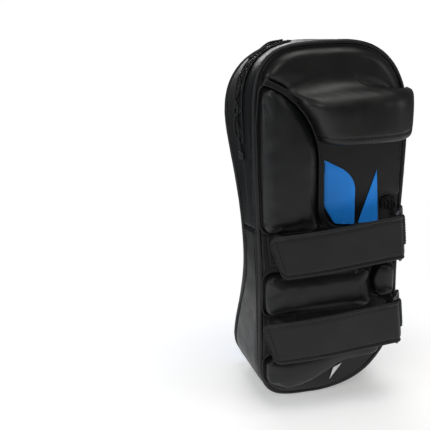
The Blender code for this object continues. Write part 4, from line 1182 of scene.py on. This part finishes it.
def make_hand_panel():
    flat_pad("hand_bed", hand_panel_outline(), 0.0012, 0.0042, 0.0020, SOFT_BLACK, ["hand_panel"])
    x = 0.0085
    panel = [(x, 0.2770, 0.0), (x, 0.2270, 0.0160), (-0.0040, 0.2055, 0.0080), (-0.0262, 0.2030, 0.0)]
    curve = curve_through([Vector((-0.0262, 0, 0.2440)), Vector((-0.0240, 0, 0.2520)),
                           Vector((-0.0190, 0, 0.2595)), Vector((-0.0120, 0, 0.2655)),
                           Vector((x, 0, 0.2770))], 4)[:-1]
    panel += [(p.x, p.z, 0.0) for p in curve]
    flat_pad("blue_panel", fillet(panel), 0.0047, 0.0056, 0.0006, BLUE, ["blue_accent_panel"])
    wedge = [(-0.0500, 0.2620, 0.0), (-0.0300, 0.2040, 0.0), (-0.0530, 0.2040, 0.0)]
    flat_pad("blue_wedge", fillet(wedge), 0.0047, 0.0056, 0.0005, BLUE, ["blue_accent_wedge"])
    sliver = [(-0.0165, 0.0375, 0.0), (-0.0065, 0.0335, 0.0), (-0.0025, 0.0195, 0.0)]
    flat_pad("white_sliver", fillet(sliver), 0.0016, 0.0024, 0.0004, WHITE, ["white_accent"])


# ---- laced closure ------------------------------------------------------------------------------


def eyelet_stations():
    spots = [mix(*CLOSURE, k / 160) for k in range(161)]
    places = [wall_point(spot, SLIT_SHARE) for spot in spots]
    travelled = [0.0]
    for before, after in zip(places, places[1:]):
        travelled.append(travelled[-1] + (after - before).length)
    found = []
    for pair in range(EYELET_PAIRS):
        margin = EYELET_END_MARGIN
        wanted = mix(margin, travelled[-1] - margin, pair / (EYELET_PAIRS - 1))
        k = next(k for k in range(160) if travelled[k + 1] >= wanted)
        part = (wanted - travelled[k]) / (travelled[k + 1] - travelled[k])
        found.append(mix(spots[k], spots[k + 1], part))
    return found


def eyelet_place(station, side, lift):
    from_slit = side * (SLIT_WIDTH + STAY_WIDTH) / 2
    return wall_point(station, SLIT_SHARE + from_slit / wall_width(station), lift)


def make_closure():
    stations = [CLOSURE[0] + k * 0.5 for k in range(2 * (CLOSURE[1] - CLOSURE[0]) + 1)]
    levels = ((0.04, 0.0002), (0.0, 0.0010), (0.06, 0.0014), (0.15, 0.0012), (0.5, 0.0013), (0.85, 0.0012),
              (0.94, 0.0014), (1.0, 0.0010), (0.96, 0.0002))
    for name, side in (("rear", -1), ("front", 1)):
        grid = []
        for s in stations:
            lip = lip_share(s, side)
            wide = side * STAY_WIDTH / wall_width(s)
            grid.append([wall_point(s, lip + wide * part, GAP + lift) for part, lift in levels])
        grid_object(f"{name}_stay", grid, STRAP_BLACK, wrap_cols=True, caps=True,
                    replaces=[f"{name}_lacing_stay"], slot="black_leather_soft")
        for part in (0.12, 0.88):
            line = []
            for s in stations:
                share = lip_share(s, side) + side * STAY_WIDTH * part / wall_width(s)
                line.append(wall_point(s, share, GAP + 0.00135))
            stitches.run("pad", line, [wall_out(s) for s in stations], pitch=0.0030, length=0.0023)
    for pair, station in enumerate(eyelet_stations(), start=1):
        out = wall_out(station)
        for side, name in ((-1, "rear"), (1, "front")):
            centre = eyelet_place(station, side, EYELET_RADIUS)
            across = (wall_point(station, 0.5) - wall_point(station, 0.3)).normalized()
            up = out.cross(across).normalized()
            face_out = across.cross(up).normalized()
            if face_out.dot(out) < 0:
                face_out = -face_out
            grid = []
            for k in range(28):
                turn = 2 * math.pi * k / 28
                arm = across * math.cos(turn) + up * math.sin(turn)
                grid.append([centre + arm * (EYELET_RADIUS + EYELET_WIDE * math.cos(b))
                             + face_out * (EYELET_HIGH * math.sin(b))
                             for b in (2 * math.pi * j / 10 for j in range(10))])
            grid_object(f"eyelet_{name}_{pair}_look", grid, EYELET_METAL, wrap_rows=True, wrap_cols=True,
                        replaces=[f"eyelet_{name}_{pair}"], slot="nickel_steel")
    make_lace()


def make_lace():
    stations = eyelet_stations()
    low = LACE_LOW
    high = low + LACE_CROSSED
    last = len(stations) - 1

    def crossing(pair, lift):
        return wall_point((stations[pair] + stations[pair + 1]) / 2, SLIT_SHARE, lift)

    def tail(side):
        points = []
        for part in (0.30, 0.65, 1.0):
            lift = mix(low, 2 * GAP + 0.001, part)
            place = wall_point(stations[last], SLIT_SHARE, lift)
            down = (wall_point(stations[last] + 1.2 * FINE, SLIT_SHARE, lift) - place).normalized()
            across = (wall_point(stations[last], 0.5) - wall_point(stations[last], 0.4)).normalized()
            points.append(place + down * (TAIL_DROP * part) + across * (side * TAIL_HALF_SPACING))
        return points

    side = 1 if last % 2 == 0 else -1
    route = list(reversed(tail(side)))
    for pair in range(last, 0, -1):
        route += [eyelet_place(stations[pair], side, low), crossing(pair - 1, low)]
        side = -side
    route.append(eyelet_place(stations[0], side, low))
    side = -side
    route.append(eyelet_place(stations[0], side, low))
    for pair in range(1, last + 1):
        route.append(crossing(pair - 1, high))
        side = -side
        route.append(eyelet_place(stations[pair], side, low))
    points = curve_through(route + tail(side), 10)
    ups = []
    for p in points:
        nearest = min(range(CLOSURE[0], CLOSURE[1] + FINE),
                      key=lambda i: (wall_point(i, SLIT_SHARE) - p).length)
        ups.append(OUT[nearest])
    sweep("lace_line", points, ups, round_profile(LACE_WIDE, LACE_HIGH, 10), LACE, replaces=["lace"],
          slot="black_lace")


# ---- forearm straps -----------------------------------------------------------------------------


def strap_space(name):
    along = Vector((math.cos(TILT), 0.0, -math.sin(TILT)))
    across = Vector((math.sin(TILT), 0.0, math.cos(TILT)))
    origin = Vector((0.0, REAR_Y, STRAP_Z[name]))

    def place(u, rise, v):
        return origin + along * u + across * v + Vector((0.0, rise, 0.0))

    return place


def base_rise(u):
    slot = 0.001 + GAP + STRAP_THICK / 2
    if u > BASE_CREST_U:
        return mix(BASE_BOW - 0.003, slot, smooth((u - BASE_CREST_U) / 0.017))
    if u > 0.0:
        return BASE_BOW - 0.003 * (u / BASE_CREST_U) ** 2
    return mix(BASE_BOW, RING_BAR[1] - WIRE - GAP - STRAP_THICK / 2, smooth(u / RING_BAR[0]))


def flap_rise(u):
    middle = BASE_BOW + STRAP_THICK + PATCH_PAIR + 4 * GAP
    if u < 0.0:
        return mix(middle, RING_BAR[1] + WIRE + GAP + STRAP_THICK / 2, smooth(u / RING_BAR[0]))
    return middle - 0.0075 * (u / TAB_X["upper"]) ** 2


def band_grid(space, path, widths, thickness, cols=26, groove=0.004, sag=0.0005, seed=0.0):
    """Cross-sections of a strap with turned edges and a stitched groove; also the outer surface's points."""
    grid = []
    outer = []
    for i, (u, rise) in enumerate(path):
        u0, r0 = path[max(i - 1, 0)]
        u1, r1 = path[min(i + 1, len(path) - 1)]
        along = Vector((u1 - u0, r1 - r0)).normalized()
        away = Vector((-along.y, along.x))
        low, high = widths[i]
        front, back = [], []
        for k in range(cols + 1):
            t = 0.5 - 0.5 * math.cos(math.pi * k / cols)
            v = mix(low, high, t)
            edge = min(v - low, high - v)
            thick = thickness / 2 * math.sqrt(max(1.0 - (1.0 - min(edge / 0.0012, 1.0)) ** 2, 0.04))
            dip = 0.00075 * math.exp(-((edge - groove) / 0.0008) ** 2)
            puff = 0.00050 * math.exp(-((edge - groove * 0.45) / 0.0013) ** 2)
            drift = wave(u, v, rise, 26.0, seed) * sag + wave(u, v * 0.3, rise, 90.0, 9.0) * sag * 0.3
            top = thick - dip + puff + drift
            front.append(space(u + away.x * top, rise + away.y * top, v))
            under = -thick + drift * 0.5
            back.append(space(u + away.x * under, rise + away.y * under, v))
        grid.append(front + back[::-1])
        outer.append((front, space(away.x, away.y, 0.0) - space(0.0, 0.0, 0.0)))
    return grid, outer


def edge_stitches(body, outer, path, widths, margin, start_u, end_u, cols=26):
    for side in (0, 1):
        line, ups = [], []
        for (u, _), (low, high), (front, up) in zip(path, widths, outer):
            if not start_u <= u <= end_u or high - low < 3 * margin:
                continue
            want = margin / (high - low)
            t = want if side == 0 else 1.0 - want
            k = math.acos(1.0 - 2.0 * t) / math.pi * cols
            a = min(int(k), cols - 1)
            line.append(front[a].lerp(front[a + 1], k - a))
            ups.append(up)
        if len(line) > 2:
            stitches.run(body, line, ups)


def flap_edges(u, tip):
    """The flap's lower and upper edge at u: even, then narrowed to a slanted tab with rounded corners."""
    half = FLAP_WIDTH / 2
    low, high = -half, half
    before_low = (tip - TAB_SLANT) - u
    if u > 0.0 and before_low < TAB_RADIUS:
        reach = TAB_RADIUS - before_low
        low = -half + TAB_RADIUS - math.sqrt(max(TAB_RADIUS**2 - min(reach, TAB_RADIUS) ** 2, 0.0))
        if reach > TAB_RADIUS:
            low = -half + TAB_RADIUS + (reach - TAB_RADIUS) * (FLAP_WIDTH - 2 * TAB_RADIUS) / TAB_SLANT
    radius = TAB_HIGH_RADIUS
    if u > 0.0 and tip - u < radius:
        reach = radius - (tip - u)
        high = half - radius + math.sqrt(max(radius**2 - reach**2, 0.0))
    return min(low, high - 0.004), high


def make_strap(name):
    space = strap_space(name)
    tip = TAB_X[name]
    bar_u, bar_rise = RING_BAR
    bend = WIRE + GAP + STRAP_THICK / 2
    fold = [(bar_u + bend * math.cos(math.radians(a)), bar_rise + bend * math.sin(math.radians(a)))
            for a in range(270, 85, -12)]
    us = [mix(bar_u, tip, k / 130) for k in range(3, 131)]
    path = fold + [(u, flap_rise(u)) for u in us]
    widths = [flap_edges(u, tip) for u, _ in path]
    grid, outer = band_grid(space, path, widths, STRAP_THICK, seed=2.0 if name == "upper" else 5.0)
    grid_object(f"{name}_flap_look", grid, STRAP_BLACK, wrap_cols=True, caps=True, body=f"{name}_tab",
                replaces=[f"{name}_strap_flap"], slot="black_leather", sharp=70)
    edge_stitches(f"{name}_tab", outer[len(fold):], path[len(fold):], widths[len(fold):], 0.0040, -0.060,
                  tip - TAB_SLANT - 0.008)
    tab_end_stitches(name, space, tip)
    base_end = bar_u + WIRE + GAP + STRAP_THICK + 3 * GAP
    us = [mix(base_end, BASE_SLOT_U, k / 130) for k in range(131)]
    path = [(u, base_rise(u)) for u in us]
    widths = [(-BASE_WIDTH / 2, BASE_WIDTH / 2)] * len(path)
    grid, outer = band_grid(space, path, widths, STRAP_THICK, cols=16, sag=0.0002, seed=7.0)
    grid_object(f"{name}_base_look", grid, WEB, wrap_cols=True, caps=True,
                replaces=[f"{name}_strap_base"], slot="black_webbing", sharp=70)
    edge_stitches("pad", outer, path, widths, 0.0035, -0.050, 0.060, cols=16)
    make_ring(name, space)
    make_anchor(name, space)
    for kind, material in (("hook", HOOKS), ("loop", LOOPS)):
        repaint(bpy.data.objects[f"{name}_{kind}_patch"].data, material)


def make_slot_shade_sheet(name, low, high):
    """A dark sheet of webbing on the rear cover where a strap comes out between two cushions: painted shade
    for the shadow in that slot.
    """
    right = side_x(mix(low, high, 0.5)) - 0.0004
    corners = [(0.0380, high, 0.0), (right, high, 0.0), (right, low, 0.0), (0.0380, low, 0.0)]
    flat_pad(f"{name}_strap_well", fillet(corners), 0.0012, 0.0022, 0.0005, WEB, [])


def make_gather(name, centre, size, lean):
    """Elastic fabric bunched up beside a ring: a low mound with folds running across it."""
    grid = []
    for i in range(33):
        s = i / 16 - 1.0
        row = []
        for k in range(25):
            t = k / 12 - 1.0
            round_off = max(1.0 - abs(s) ** 3 - 0.6 * abs(t) ** 3, 0.0)
            x = centre[0] + size[0] * s + lean * t * size[1]
            z = centre[1] + size[1] * t * (0.85 + 0.15 * math.cos(5.0 * s))
            fold = 0.5 + 0.5 * math.sin(17.0 * s + 2.6 * wave(s, t, 0.0, 1.7, 4.0) + 1.5 * t)
            lump = size[2] * (0.55 + 0.45 * fold) + 0.0008 * wave(s, t, 0, 3.0, 8.0)
            rise = 0.0014 + math.sqrt(round_off) * lump
            row.append(Vector((x, REAR_Y + rise, z)))
        grid.append(row)
    floor = [[Vector((p.x, REAR_Y + 0.0011, p.z)) for p in row] for row in grid]
    loop = [row + back[::-1] for row, back in zip(grid, floor)]
    grid_object(f"{name}_gather", loop, ELASTIC, wrap_cols=True, caps=True, slot="black_webbing")


def tab_end_stitches(name, space, tip):
    """The stitch line that follows the slanted end of the tab."""
    half = FLAP_WIDTH / 2
    low, high = Vector((tip - TAB_SLANT - 0.0060, -half + 0.0070)), Vector((tip - 0.0055, half - 0.0050))
    line = []
    for k in range(21):
        p = low.lerp(high, k / 20)
        line.append(space(p.x, flap_rise(p.x) + STRAP_THICK / 2 + 0.0001, p.y))
    stitches.run(f"{name}_tab", line, [Vector((0.0, 1.0, 0.0))] * len(line))


def make_ring(name, space):
    bar, anchor = Vector(RING_BAR), Vector(ANCHOR_BAR)
    across, length = (anchor - bar).normalized(), (anchor - bar).length
    half = FLAP_WIDTH / 2 + 0.001 + WIRE
    outline = fillet([(0.0, half, 0.003), (length, half, 0.003), (length, -half, 0.003),
                      (0.0, -half, 0.003)], steps=10)
    grid = []
    for (s, v), out in zip(outline, normals_of(outline)):
        ring = []
        for k in range(16):
            turn = 2 * math.pi * k / 16
            spot = bar + across * (s + out.x * WIRE * math.cos(turn))
            lift = Vector((across.y, -across.x)) * (WIRE * math.sin(turn))
            ring.append(space(spot.x + lift.x, spot.y + lift.y, v + out.y * WIRE * math.cos(turn)))
        grid.append(ring)
    grid_object(f"{name}_ring_look", grid, DARK_STEEL, wrap_rows=True, wrap_cols=True,
                body=f"{name}_ring_link", replaces=[f"{name}_ring"], slot="nickel_steel")


def ruffle(place, rows, cols, amount, folds):
    """A gathered band: place(s, t) gives a point and its outward direction."""
    grid = []
    for i in range(rows + 1):
        row, back = [], []
        for k in range(cols + 1):
            s, t = i / rows, k / cols
            point, out = place(s, t)
            edge = math.sqrt(max(1.0 - (2 * t - 1) ** 8, 0.05))
            fold = math.sin(folds * math.pi * t + 2.2 * wave(s, t, 0.0, 2.3, 3.0)) * amount
            row.append(point + out * (0.0008 * edge + fold))
            back.append(point + out * (-0.0008 * edge + fold))
        grid.append(row + back[::-1])
    return grid


def make_anchor(name, space):
    bar_u, bar_rise = ANCHOR_BAR
    bend = WIRE + GAP + 0.0008
    foot = (ANCHOR_FOOT_MARGIN - rear_half(STRAP_Z[name]), 0.001 + GAP)
    path = [foot, (mix(foot[0], bar_u + bend, 0.5) + 0.0005, mix(foot[1], bar_rise, 0.5))]
    path += [(bar_u + bend * math.cos(math.radians(a)), bar_rise + bend * math.sin(math.radians(a)))
             for a in range(-25, 251, 25)]
    fine = curve_through([Vector((u, r, 0.0)) for u, r in path], 5)

    def place(s, t):
        k = min(int(s * (len(fine) - 1)), len(fine) - 2)
        point = fine[k].lerp(fine[k + 1], s * (len(fine) - 1) - k)
        along = (fine[k + 1] - fine[k]).normalized()
        out = Vector((along.y, -along.x, 0.0))
        centre = space(point.x, point.y, mix(-ANCHOR_HALF, ANCHOR_HALF, t))
        return centre, (space(out.x, out.y, 0.0) - space(0.0, 0.0, 0.0))

    grid_object(f"{name}_elastic_look", ruffle(place, 60, 72, 0.00035, 22), ELASTIC, wrap_cols=True,
                caps=True, replaces=[f"{name}_elastic_anchor"], slot="black_webbing")


# ---- building it all ----------------------------------------------------------------------------

make_walls()
make_piping("rear_welt", rear_seam, ["rear_piping"])
make_piping("front_welt", front_seam, ["front_piping"])
make_face()
make_back_plate()
make_cushions()
hood = make_hood()
make_grip_end(hood)
stitch_hem(hood)
make_border()
make_hand_panel()
make_closure()
make_strap("upper")
make_strap("lower")
# Painted shade: dark sheets in the slots where the straps come out between the cushions.
make_slot_shade_sheet("upper", 0.1575, 0.1998)
make_slot_shade_sheet("lower", 0.0585, 0.1057)
make_gather("upper", (-0.0650, 0.2220), (0.0095, 0.0080, 0.0090), 0.2)
make_gather("lower", (-0.0660, 0.1140), (0.0085, 0.0045, 0.0080), 0.3)
stitches.build(THREAD, "black_leather")

for name, material in (("closure_tongue", STRAP_BLACK), ("lace_keeper", STRAP_BLACK), ("core_foam", WEB),
                       ("backing_foam", WEB), ("shock_foam", WEB)):
    repaint(bpy.data.objects[name].data, material)

# ---- camera, floor and light --------------------------------------------------------------------


def make_camera():
    data = bpy.data.cameras.new("camera")
    data.lens = 78.79
    data.sensor_width = 36.0
    data.clip_end = 20.0
    camera = bpy.data.objects.new("camera", data)
    camera.location = (0.3213, 0.8965 + REAR_Y, 0.5428)
    camera.rotation_euler = Euler([math.radians(a) for a in (70.9988, 1.3993, 167.1349)])
    bpy.context.scene.collection.objects.link(camera)
    bpy.context.scene.camera = camera


def area_light(name, place, target, size, watts, colour):
    data = bpy.data.lights.new(name, "AREA")
    data.size = size
    data.energy = watts
    data.color = colour
    light = bpy.data.objects.new(name, data)
    light.location = place
    light.rotation_euler = (Vector(target) - Vector(place)).to_track_quat("-Z", "Y").to_euler()
    bpy.context.scene.collection.objects.link(light)


def make_lights():
    area_light("key", (0.9, 1.5, 1.2), (0.0, 0.0, 0.2), 0.9, 9.0, (1.0, 0.98, 0.95))
    area_light("left", (1.3, 0.1, 0.5), (0.05, 0.0, 0.2), 0.5, 4.0, (0.88, 0.94, 1.0))
    area_light("right", (-1.2, 0.7, 0.6), (0.0, 0.0, 0.2), 0.8, 3.0, (1.0, 1.0, 1.0))
    area_light("top", (-0.1, 0.2, 1.5), (0.0, 0.0, 0.3), 0.9, 9.0, (1.0, 0.99, 0.97))
    area_light("face", (0.0, -1.5, 0.9), (0.0, 0.0, 0.2), 0.9, 10.0, (1.0, 1.0, 1.0))


def make_world():
    """A white backdrop that lights the scene only dimly."""
    world = bpy.data.worlds.new("world")
    world.use_nodes = True
    tree = world.node_tree
    backdrop = tree.nodes["Background"]
    rays = tree.nodes.new("ShaderNodeLightPath")
    shade = tree.nodes.new("ShaderNodeMapRange")
    shade.inputs["To Min"].default_value = 0.12
    shade.inputs["To Max"].default_value = 1.0
    tree.links.new(rays.outputs["Is Camera Ray"], shade.inputs["Value"])
    tree.links.new(shade.outputs["Result"], backdrop.inputs["Strength"])
    backdrop.inputs["Color"].default_value = (1.0, 1.0, 1.0, 1.0)
    bpy.context.scene.world = world
    bpy.context.scene.view_settings.view_transform = "Standard"


def make_floor():
    nodes = Nodes("floor_look")
    grain = nodes.noise(6.0, 3.0)
    tint = nodes.blend(nodes.remap(grain, 0.3, 0.7, 0.0, 1.0), (0.93, 0.93, 0.93), (0.96, 0.96, 0.96))
    material = nodes.finish(tint, nodes.remap(grain, 0.2, 0.8, 0.75, 0.85), ior=1.3)
    shader = nodes.shader
    shader.inputs["Emission Color"].default_value = (1.0, 1.0, 1.0, 1.0)
    shader.inputs["Emission Strength"].default_value = 0.30
    near, far, half = 0.95, -0.28, 0.95
    floor = new_object("floor", [(-half, far, -0.0006), (half, far, -0.0006), (half, near, -0.0006),
                                 (-half, near, -0.0006)], [(0, 1, 2, 3)], material, body=None)


make_camera()
make_lights()
make_world()
make_floor()
